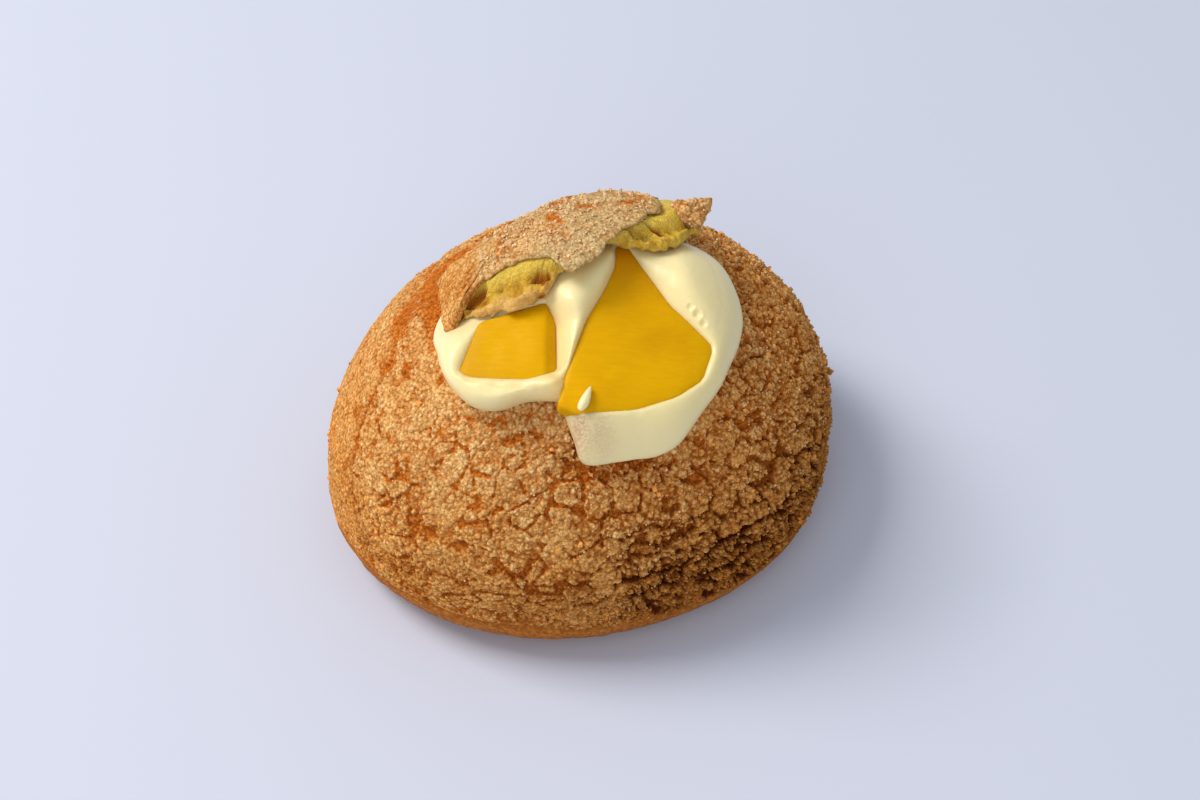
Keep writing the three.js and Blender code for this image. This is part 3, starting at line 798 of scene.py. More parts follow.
class CreamPuffSettings(bpy.types.PropertyGroup):
    """Sizes, counts, light and colours that a user may change"""

    nugget_size: FloatProperty(name="Nugget size", description="Mean width of the crust's nuggets",
                               default=0.0042, min=0.001, max=0.01, unit="LENGTH", subtype="DISTANCE")
    sugar_grains: IntProperty(name="Sugar grains", description="Loose clear grains on the crust",
                              default=2000, min=0, max=16000)
    crust_crumbs: IntProperty(name="Crust crumbs", description="Loose tan crumbs on the crust",
                              default=700, min=0, max=16000)
    cream_height: FloatProperty(name="Cream height", description="Height of the cream's rim above the crust",
                                default=0.0053, min=0.001, max=0.01, unit="LENGTH", subtype="DISTANCE")
    key_power: FloatProperty(name="Key light", description="Power of the window-like light on the left",
                             default=10.3, min=0, max=100, unit="POWER", subtype="POWER")
    fill_power: FloatProperty(name="Fill light", description="Power of the broad light in front",
                              default=3.0, min=0, max=100, unit="POWER", subtype="POWER")
    crust_pale: colour("Crust pale", "Nugget tops", (0.82, 0.46, 0.155))
    crust_tan: colour("Crust tan", "Nuggets", (0.72, 0.31, 0.07))
    crust_gold: colour("Crust gold", "Golden patches", (0.64, 0.23, 0.03))
    crust_sugar: colour("Crust sugar", "Sugary beige of the lid", (0.52, 0.385, 0.185))
    sugar_grain: colour("Sugar grain", "Loose sugar grains", (0.78, 0.53, 0.27))
    # Crust tip is sugar on the lump tops and also a painted highlight.
    crust_tip: colour("Crust tip", "Sugary tops of the lumps", (0.82, 0.60, 0.31))
    crust_toast: colour("Crust toast", "Browned crust", (0.36, 0.115, 0.010))
    crack_orange: colour("Crack orange", "Inside the cracks", (0.54, 0.148, 0.016))
    # Crack brown is also the painted shade deep in the cracks of the shaded lower right.
    crack_brown: colour("Crack brown", "Inside the toasted cracks", (0.08, 0.012, 0.002))
    choux_gold: colour("Choux gold", "Bare choux skin", (0.43, 0.13, 0.013))
    choux_tan: colour("Choux tan", "Bare choux skin, lighter", (0.50, 0.18, 0.024))
    choux_brown: colour("Choux brown", "Bare choux skin, browned", (0.36, 0.13, 0.02))
    crumb_yellow: colour("Crumb yellow", "Torn crumb", (0.68, 0.40, 0.032))
    crumb_pale: colour("Crumb pale", "Torn crumb, lighter", (0.82, 0.57, 0.095))
    crumb_gold: colour("Crumb gold", "Torn crumb, darker", (0.60, 0.27, 0.015))
    # Crumb cave is the painted shade in the crumb's caves and hollows.
    crumb_cave_shade: colour("Crumb cave", "Deep in the crumb's caves", (0.40, 0.13, 0.008))
    cream_ivory: colour("Cream ivory", "Custard cream", (0.88, 0.745, 0.40))
    cream_yellow: colour("Cream yellow", "Custard cream, deeper", (0.90, 0.73, 0.335))
    # Cream peach is painted: the fruit's reflected light beside it and shade in the gap.
    cream_peach: colour("Cream peach", "Custard cream beside the fruit", (0.93, 0.68, 0.28))
    cream_stain: colour("Cream stain", "Crumb-stained cream", (0.50, 0.31, 0.19))
    mango_yellow: colour("Mango yellow", "Mango flesh", (0.74, 0.385, 0.001))
    # Mango deep is the painted shade of the lid on the mango's tip, and the orange of its sides.
    mango_deep_shade: colour("Mango deep", "Mango flesh near the tip", (0.60, 0.20, 0.002))
    mango_orange: colour("Mango orange", "Mango flesh, deeper", (0.66, 0.32, 0.001))


class PieceOperator:
    """What the piece operators share: the settings."""

    bl_options = {"REGISTER"}

    @property
    def settings(self):
        return bpy.context.scene.cream_puff


class CREAMPUFF_OT_materials(PieceOperator, bpy.types.Operator):
    """Build the materials and the shader groups they share"""

    bl_idname = "cream_puff.materials"
    bl_label = "Materials"

    def execute(self, context):
        s = self.settings
        groups = {"sand": sugar_sand_group(), "mottle": mottle_group()}
        for make in (cookie_material, choux_material, crumb_material, cream_material, mango_material):
            make(groups, s)
        grain_material("Sugar grain", s, s.sugar_grain, 0.6, 0.15)
        grain_material("Crust crumb", s, s.crust_tan, 0.7, 0.35)
        return {"FINISHED"}


class CREAMPUFF_OT_choux_body(PieceOperator, bpy.types.Operator):
    """Build the hollow choux body under the cookie crust"""

    bl_idname = "cream_puff.choux_body"
    bl_label = "Choux body"

    def execute(self, context):
        columns, foot_rows, side_rows, inner_rows, floor_rows = 360, 20, 84, 16, 5
        phi = np.linspace(-math.pi, math.pi, columns, endpoint=False)
        rim = smooth_outline(HOLE_EDGE, 300)
        # The outer skin goes up the bun from its foot to the opening, sunk where the crust covers it, in
        # wrinkles that run level.
        below = np.radians(np.linspace(-90, 0, foot_rows, endpoint=False))[:, None] + 0 * phi
        above = np.linspace(0, 1, side_rows)[:, None] * rim_angle(phi, rim)[None]
        t = np.vstack([below, above])
        p, n = bun(phi[None] + 0 * t, t)
        bare = smoothstep(0.6, -0.4, hem(p))
        sag = -SKIN_COVERED * (1 - bare) - SKIN_BARE * bare
        wrinkle = 0.26 * rough(p * np.array([1, 1, 5.0]), 7.0, 3, 3) + 0.14 * rough(p, 1.6, 2, 8)
        flat = smoothstep(0, 2.0, p[..., 2])[..., None]
        outer = p + n * (sag + wrinkle)[..., None] * flat
        outer[..., 2] = np.maximum(outer[..., 2], 0)
        # The inner skin goes down from the opening to the floor, the wall's thickness in.
        inner_t = np.vstack([
            np.linspace(1, 0, inner_rows)[:, None] * rim_angle(phi, rim, WALL)[None],
            np.radians(np.linspace(0, -90, floor_rows + 1)[1:])[:, None] + 0 * phi,
        ])
        inner, _ = bun(phi[None] + 0 * inner_t, inner_t, WALL)
        rings = np.vstack([outer, inner])
        toast = toasting(rings)
        bare = np.vstack([bare, np.ones(inner.shape[:2])])
        piece = closed_mesh("choux_body", rings, np.array([0, 0, 0.0]), np.array([0, 0, WALL]),
                            bare=bare, toast=toast)
        finish_piece(piece, "Choux skin", "choux_crust", "choux_shell")
        return {"FINISHED"}


class CREAMPUFF_OT_cookie_crust(PieceOperator, bpy.types.Operator):
    """Build the crackled cookie crust that covers the bun, in four panels, and its loose grains"""

    bl_idname = "cream_puff.cookie_crust"
    bl_label = "Cookie crust"

    def execute(self, context):
        rim = smooth_outline(HOLE_EDGE, 300)
        loose = []
        for name, first, last, cols, rows in CRUST_PANELS:
            loose.append(self.panel(name, math.radians(first), math.radians(last), cols, rows, rim))
        ground = [np.concatenate(v) for v in zip(*loose)]
        s = self.settings
        scatter("sugar_grains", "Sugar grain", ground, s.sugar_grains, SUGAR_WIDTHS, 5)
        scatter("crust_crumbs", "Crust crumb", ground, s.crust_crumbs, CRUMB_WIDTHS, 6)
        return {"FINISHED"}

    def panel(self, name, first, last, cols, rows, rim):
        """One closed panel between two columns, and the points, normals, weight and toasting of the ground
        for loose grains. It is worked out one column further each way, so that its normals at the seams
        are its neighbours' too."""
        step = (last - first) / (cols - 1)
        phi = first + step * np.arange(-1, cols + 1)
        end = rim_angle((phi + math.pi) % (2 * math.pi) - math.pi, rim)
        low = rows // 6
        below = np.radians(np.linspace(PANEL_FOOT, 0, low, endpoint=False))[:, None] + 0 * phi
        t = np.vstack([below, np.linspace(0, 1, rows - low)[:, None] * end[None]])
        p, n = bun(phi[None] + 0 * t, t)
        outer, values, over = crust_skin(p, n, self.settings.nugget_size / MM)
        cross = np.cross(np.gradient(outer, axis=1), np.gradient(outer, axis=0))
        normals = unit(cross)[:, 1:-1]
        inner_t = t[:: rows // 10]
        q, m = bun(phi[None] + 0 * inner_t, inner_t)
        inner = (q - PANEL_DEPTH * m)[:, 1:-1]
        outer = outer[:, 1:-1]
        values = {k: v[:, 1:-1] for k, v in values.items()}
        piece = panel_mesh(name, outer, inner, normals, values)
        finish_piece(piece, "Cookie crust", "choux_crust", "choux_shell")
        keep = (values["crack"] < 0.5) & (over[:, 1:-1] > 0.5)
        weight = np.linalg.norm(cross, axis=-1)[:, 1:-1] * keep * (0.2 + 0.8 * coarseness(p)[:, 1:-1])
        return outer.reshape(-1, 3), normals.reshape(-1, 3), weight.ravel(), values["toast"].ravel()


def crust_skin(p, n, nugget):
    """The crust's outer points over points p with normals n of the bun, its colour values, and the height
    above its lower edge. Left of the split it is smoother, streaked and has sunk a little, less so behind,
    and beside the lid's left end it is torn bare, its dark orange partly painted shade of the lid's raised
    edge. It thins out towards its lower edge and dips under the choux skin."""
    coarse = coarseness(p)
    height, crack, tone, peak = crust_relief(p, nugget, coarse)
    splits, over, above, azimuth = side_splits(p), hem(p), slip(p), azimuth_of(p)
    # Where it is split, smooth, streaked, in the shade at the lower right, and torn bare with painted shade.
    groove = np.exp(-((above / 1.2) ** 2)) * smoothstep(-0.9, 0.3, noise(p, 8.0, 51) + 0.5)
    behind = smoothstep(90, 110, azimuth) * smoothstep(166, 142, azimuth)
    smooth = smoothstep(0.2, -1.6, above) * (1 - 0.7 * behind)
    left = smoothstep(-95, -130, azimuth) * smoothstep(10, 16, p[..., 2])
    streak = smoothstep(0.30, 0.70, rough(p * np.array([1, 1, 0.4]), 2.6, 3, 61)) * left
    shade = smoothstep(-100, -60, azimuth) * (1 - smoothstep(0, 40, azimuth)) * smoothstep(30, 14, p[..., 2])
    beside = outside(p[..., 0], p[..., 1], smooth_outline(LID_CRUST_EDGE, 60))
    torn_bare_and_shade = smoothstep(4.2, 1.2, beside + 0.9 * noise(p, 2.4, 83)) * smoothstep(-15, -20, p[..., 0])
    height = height * (1 - 0.6 * smooth) - 0.35 * smooth - 0.75 * groove - 1.1 * splits - 0.12 * streak
    height = height - 0.5 * shade * crack
    height = height - 0.35 * torn_bare_and_shade
    height = height * smoothstep(-0.5, 3.2, over) - 0.10 - 2.0 * smoothstep(0.5, -0.5, over)
    # Colour values: cracks, toasting, and sugary paleness in patches, most in front and high up.
    # Painted shade: the torn bare patch beside the lid is coloured like the cracks, partly as the lid's
    # shade.
    crack = np.clip(crack * (1 - 0.5 * smooth) + 0.7 * groove + splits + 0.40 * streak + 0.8 * torn_bare_and_shade, 0, 1)
    crack = crack * smoothstep(-0.5, 2.0, over) + 0.30 * smoothstep(2.5, 0.0, over)
    # Toasting also holds painted shade: the cracks of the shaded lower right are painted browner.
    toast = np.clip(toasting(p) + 0.55 * splits + 0.12 * (0.5 - tone) + 0.5 * shade * crack, 0, 1)
    right = smoothstep(-100, -50, azimuth) * (1 - smoothstep(60, 120, azimuth))
    front = np.exp(-(((azimuth - PALE_SIDE[0]) / PALE_SIDE[1]) ** 2))
    pale = 0.20 + 0.22 * front + 0.38 * smoothstep(0.0, 0.8, rough(p, 12.0, 2, 29) + 0.2)
    pale = pale * smoothstep(18, 39, p[..., 2]) * (1 - 0.8 * right)
    # The lump tops' paleness is partly a painted highlight: it fades on the right side and low down.
    peak = peak * (1 - torn_bare_and_shade) * (1 - smoothstep(0.2, 0.8, groove)) * smoothstep(0, 2.5, over)
    peak = peak * (1 - 0.6 * right) * (0.2 + 0.9 * smoothstep(14, 38, p[..., 2]))
    values = {"crack": crack, "toast": toast, "pale": pale, "tone": tone * (1 - smooth), "peak": peak}
    return p + n * height[..., None], values, over


def panel_mesh(name, outer, inner, normals, values):
    """A closed panel from its outer grid and a coarser inner grid of the same columns. Each open end is
    closed by triangles that climb both grids' last columns together."""
    rows, cols, _ = outer.shape
    low = len(inner)
    out = np.arange(rows * cols).reshape(rows, cols)
    into = rows * cols + np.arange(low * cols).reshape(low, cols)

    def sheet(a):
        """The faces of a grid of point numbers."""
        return np.stack([a[:-1, :-1], a[:-1, 1:], a[1:, 1:], a[1:, :-1]], -1).reshape(-1, 4)

    def strip(a, b):
        """The faces between two rows of point numbers."""
        return np.stack([a[:-1], a[1:], b[1:], b[:-1]], -1)

    quads = np.vstack([sheet(out), sheet(into)[:, ::-1], strip(into[0], out[0]), strip(out[-1], into[-1])])
    match = np.round(np.arange(rows) * (low - 1) / (rows - 1)).astype(int)
    step = np.flatnonzero(np.diff(match))
    caps = []
    for c, turn in ((0, 1), (-1, -1)):
        a = np.stack([out[:-1, c], out[1:, c], into[match[:-1], c]], -1)
        b = np.stack([out[step + 1, c], into[match[step + 1], c], into[match[step], c]], -1)
        caps.append(np.vstack([a, b])[:, ::turn])

    def over_all(v):
        """A value for each outer point, and their mean for the inner ones."""
        return np.concatenate([v.ravel(), np.full(into.size, v.mean())])

    piece = new_mesh(name, np.vstack([outer.reshape(-1, 3), inner.reshape(-1, 3)]), quads, np.vstack(caps),
                     {k: over_all(v) for k, v in values.items()})
    down = np.repeat(-normals.mean(axis=(0, 1))[None], into.size, axis=0)
    piece.data.normals_split_custom_set_from_vertices(np.vstack([normals.reshape(-1, 3), unit(down)]))
    return piece


def scatter(name, finish, ground, count, widths, seed):
    """Loose grains as one piece: shaken cubes of eight corners, turned at random and half sunk in random
    points of the ground, each point being as likely as its weight. There are more small grains than large
    ones between the two widths."""
    points, normals, weight, toast = ground
    rng = np.random.default_rng(seed)
    pick = rng.choice(weight.size, size=count, p=weight / weight.sum())
    size = widths[0] + (widths[1] - widths[0]) * rng.uniform(0, 1, count) ** 1.6
    p = points[pick] + rng.normal(0, 0.10, (count, 3)) + normals[pick] * (0.12 * size)[:, None]
    corners = np.array([(x, y, z) for z in (-1, 1) for x, y in ((-1, -1), (1, -1), (1, 1), (-1, 1))], float)
    body = corners[None] * 0.5 * (1 + rng.uniform(-0.45, 0.2, (count, 8, 3)))
    turn = np.linalg.qr(rng.normal(size=(count, 3, 3)))[0]
    turn[:, :, 0] *= np.sign(np.linalg.det(turn))[:, None]
    stretch = rng.uniform(0.7, 1.2, (count, 1, 3))
    verts = p[:, None] + size[:, None, None] * np.einsum("nij,nkj->nki", turn, body * stretch)
    faces = np.array([(3, 2, 1, 0), (4, 5, 6, 7), (0, 1, 5, 4), (1, 2, 6, 5), (2, 3, 7, 6), (3, 0, 4, 7)])
    quads = (8 * np.arange(count)[:, None, None] + faces[None]).reshape(-1, 4)
    values = {"tone": np.repeat(rng.uniform(0, 1, count), 8), "toast": np.repeat(toast[pick], 8)}
    piece = new_mesh(name, verts.reshape(-1, 3), quads, np.zeros((0, 3), int), values)
    piece.data.polygons.foreach_set("use_smooth", np.zeros(len(piece.data.polygons), bool))
    return finish_piece(piece, finish, "choux_crust")


def ground_of(rings, keep, toast):
    """Points, normals, weight and toasting for loose grains over the rings of a closed mesh, each point
    weighing as much as the area round it, where keep is true."""
    around = (np.roll(rings, -1, axis=1) - np.roll(rings, 1, axis=1)) / 2
    cross = np.cross(around, np.gradient(rings, axis=0))
    weight = np.linalg.norm(cross, axis=-1) * keep
    return rings.reshape(-1, 3), unit(cross).reshape(-1, 3), weight.ravel(), toast.ravel()


class CREAMPUFF_OT_lid(PieceOperator, bpy.types.Operator):
    """Build the torn lid: its crust, its crumb, the standing flake and their loose grains"""

    bl_idname = "cream_puff.lid"
    bl_label = "Torn lid"

    def execute(self, context):
        self.crust()
        self.crumb()
        self.flake()
        return {"FINISHED"}

    def crust(self):
        """The crust's slab. Its left end is thicker, where the crust rolls over and hides the crumb."""
        outline = torn(smooth_outline(LID_CRUST_EDGE, 460), 0.6, 3)
        top_rows, edge_rows, under_rows = 100, 18, 18

        def place(x, y, share):
            """Points of the slab, and the cracks, tone and lump tops of its upper face."""
            rest, _ = crown(x, y)
            height, crack, tone, peak = crust_relief(rest, self.settings.nugget_size / MM, 0.12 + 0 * x)
            height = 0.75 * height + 0.8 * rough(rest, 5.0, 2, 55) + 0.25 * rough(rest, 1.3, 2, 57)
            lift = lid_lift(x, y)
            depth = LID["crust"] + 1.8 * smoothstep(-13.5, -18.5, x) * smoothstep(4, -4, y)
            on_top = smoothstep(0.45, 1, share)
            h = lift - depth * (1 - share) + (height + 0.1) * on_top
            side = 0.30 * rough(rest + 3 * share[..., None], 1.5, 3, 21)
            return on_crown(x, y, h + side), crack * on_top, tone, peak * on_top

        rings, low, high, (crack, tone, peak) = slab_grid(
            outline, place, top_rows, edge_rows, under_rows, 3.2)
        patch = smoothstep(0.12, 0.50, rough(rings, 4.0, 3, 78))
        end = smoothstep(-13, -18, rings[..., 0])
        crack = np.clip(0.45 * crack + 0.65 * patch, 0, 1)
        toast = np.clip(0.04 + 0.25 * end + 0.25 * rough(rings, 6.0, 2, 77), 0, 1)
        pale = np.clip(0.80 + 0.5 * rough(rings, 9.0, 2, 31) - 0.7 * end - 0.4 * patch, 0, 1)
        peak = peak * (1 - patch)
        piece = closed_mesh("lid_crust", rings, low, high, crack=crack, toast=toast, pale=pale, tone=tone,
                            peak=peak)
        finish_piece(piece, "Cookie crust", "choux_crust", "choux_shell")
        # Grains lie on the upper face and the top third of the edge, away from the left end and the cracks.
        keep = (crack < 0.5) & (rings[..., 0] > -15)
        keep[: 1 - top_rows - edge_rows // 3] = False
        scatter("lid_sugar", "Sugar grain", ground_of(rings, keep, 0.3 * toast), **LID_SUGAR)

    def crumb(self):
        """The crumb's slab: its torn face falls in a hollow from the brow to the lower ledge, with caves
        of its own and smaller bubbles."""
        outline = torn(smooth_outline(LID_CRUMB_EDGE, 460), 0.75, 5)
        brow = smooth_outline(LID_BROW, 160)

        def place(x, y, share):
            """Points of the slab, the painted shade of its hollows, its lower lip, and s, which is 0 at the
            brow and 1 at the ledge's edge. From the one to the other the top falls to near the floor."""
            floor = lid_floor(x, y)
            bare = (LID["crust"] - 0.6) * smoothstep(9.5, 12, x)
            beyond = np.maximum(outside(x, y, brow), 0)
            within = np.maximum(-outside(x, y, outline), 0)
            s = beyond / (beyond + within + 0.15)
            flush = 0.6 * smoothstep(0, 0.08, s)
            top = lid_lift(x, y) - LID["crust"] + 0.3 + bare + flush
            fall = 1 - (1 - s) ** 1.25
            rim = 1.2 * np.exp(-(((s - 0.84) / 0.13) ** 2)) * smoothstep(1.2, 2.4, beyond + within)
            h = floor + (top - floor) * share * (1 - 0.82 * fall) + rim * share
            # Caves, bubbles and pores are cut into it.
            cave = self.caves(x, y) * smoothstep(0.3, 0.9, share)
            rest, _ = crown(x, y)
            bent = rest + 0.7 * np.stack([noise(rest, 2.5, k) for k in (9, 10, 14)], -1)
            f1, f2, own = cells(bent, 2.0, 71)
            bubble = smoothstep(0.04, 0.40, f2 - f1) * own * smoothstep(0.05, 0.35, s)
            g1, g2, _ = cells(bent + 2 * share[..., None], 0.8, 72)
            pores = smoothstep(0.05, 0.5, g2 - g1) * smoothstep(0.02, 0.2, s) * smoothstep(0.96, 0.84, s)
            h = h - cave - 0.75 * bubble - 0.26 * pores + 0.25 * smoothstep(0.05, 0.35, s)
            h = h + (0.25 * rough(rest + 3 * share[..., None], 2.0, 3, 4)) * smoothstep(0, 0.15, s)
            h = np.maximum(h, floor + 0.35 * share)
            # Colour values, and a shake of every point of the torn face.
            lip = smoothstep(0.66, 0.84, s + 0.12 * noise(rest, 1.6, 15)) * smoothstep(2, -6, x)
            dark = np.exp(-(((s - 0.50) / 0.15) ** 2)) * smoothstep(-0.2, 0.4, noise(rest, 2.6, 16))
            dark = dark * smoothstep(-11, -14, x)
            # Painted shade: caves, bubbles and the dark band are coloured brown as shade.
            hollow = np.clip(0.8 * cave + 0.4 * bubble + 0.7 * dark, 0, 1)
            shaken = np.stack([noise(rest + 2 * share[..., None], 1.3, k) for k in (17, 18, 19)], -1)
            shaken = 0.30 * shaken * (smoothstep(0.02, 0.2, s) * share)[..., None]
            return on_crown(x, y, h - 0.6 * dark * share) + shaken, hollow, lip, s

        rings, low, high, (cave, lip, s) = slab_grid(outline, place, 90, 26, 14, 5.0)
        # cave carries the painted shade of the hollows to the material.
        piece = closed_mesh("lid_crumb", rings, low, high, cave=cave, lip=lip, depth=s)
        finish_piece(piece, "Crumb", "choux_crust", "choux_shell")

    def caves(self, x, y):
        """Depth in mm of the torn face's caves: bell-shaped hollows with flat floors."""
        total = 0 * x
        for cx, cy, long, wide, turn, depth in CAVES:
            c, s = math.cos(math.radians(turn)), math.sin(math.radians(turn))
            u = ((x - cx) * c + (y - cy) * s) / long
            v = (-(x - cx) * s + (y - cy) * c) / wide
            total = np.maximum(total, depth * smoothstep(1.25, 0.55, np.hypot(u, v)))
        return total

    def flake(self):
        """The standing flake: a slab on its own plane, cracked into cells on its upper face."""
        origin, across, along, facing = plane_of(CHIP)
        outline = torn(cornered_outline(CHIP["corners"], CHIP["rounding"], 140), 0.25, 8)

        def place(x, y, share):
            """Points of the slab, the cracks between its cells, and each cell's own number."""
            h = -CHIP["depth"] * (1 - share)
            p = origin + x[..., None] * across + y[..., None] * along + h[..., None] * facing
            f1, f2, own = cells(p, 1.6, 12)
            p = p + facing * (0.3 * (smoothstep(0.0, 0.35, f2 - f1) - 0.8) * share)[..., None]
            p = p + 0.20 * np.stack([rough(p, 1.0, 2, k) for k in (4, 5, 6)], -1)
            return p, smoothstep(0.3, 0.05, f2 - f1) * share, own

        rings, low, high, (crack, own) = slab_grid(outline, place, 26, 16, 8, 5.0)
        piece = closed_mesh("lid_flake", rings, low, high, crack=0.4 * crack, toast=0.02 + 0.2 * own,
                            pale=0.35 + 0 * crack, tone=own, peak=own * (1 - crack))
        finish_piece(piece, "Cookie crust", "choux_crust", "choux_shell")
        keep = np.ones(crack.shape, bool)
        scatter("flake_sugar", "Sugar grain", ground_of(rings, keep, 0.2 * own), **FLAKE_SUGAR)


def torn(outline, amount, seed):
    """An outline whose points move out and in by up to amount, in bites of about 2 mm and 0.7 mm."""
    middle = outline.mean(axis=0)
    out = unit(outline - middle)
    p = np.column_stack([outline, np.zeros(len(outline))])
    return outline + out * (amount * (0.75 * noise(p, 2.2, seed) + 0.5 * noise(p, 0.8, seed + 1)))[:, None]


def edge_reach(out, outline, middle):
    """Distance from the middle to the outline in the direction of each vector out."""
    around = np.arctan2(*(outline - middle).T[::-1])
    order = np.argsort(around)
    radius = np.linalg.norm(outline - middle, axis=1)[order]
    return np.interp(np.arctan2(out[..., 1], out[..., 0]), around[order], radius, period=2 * math.pi)


def slab_grid(outline, place, top_rows, side_rows, under_rows, sharpness):
    """Rings of a slab over an outline, from its underside's middle by its edge to its top's middle.
    place(x, y, share) gives points and values, share being 0 on the underside and 1 on the top; across
    the edge both follow a superellipse of the given sharpness."""
    middle = outline.mean(axis=0)

    def bent(v):
        """A sine or cosine brought to the superellipse."""
        return np.sign(v) * np.abs(v) ** (2 / sharpness)

    def rise(a):
        """Height of the superellipse's lower half at a share a of the way out from its middle."""
        return 0.5 * (1 - np.maximum(0, 1 - a**sharpness) ** (1 / sharpness))

    angle = np.linspace(-0.5, 0.5, side_rows) * math.pi * 0.86
    side_across, side_share = bent(np.cos(angle)), 0.5 + 0.5 * bent(np.sin(angle))
    under = np.linspace(0, side_across[0], under_rows + 1)[1:-1]
    over = np.linspace(side_across[-1], 0, top_rows + 1)[1:-1]
    across = np.concatenate([under, side_across, over])
    share = np.concatenate([rise(under), side_share, 1 - rise(over)])
    x = middle[0] + (outline[None, :, 0] - middle[0]) * across[:, None]
    y = middle[1] + (outline[None, :, 1] - middle[1]) * across[:, None]
    rings, *parts = place(x, y, share[:, None] + 0 * x)
    ends = []
    for s in (0.0, 1.0):
        one = np.full((1, 1), middle[0]), np.full((1, 1), middle[1]), np.full((1, 1), s)
        ends.append(place(*one)[0][0, 0])
    return rings, ends[0], ends[1], parts


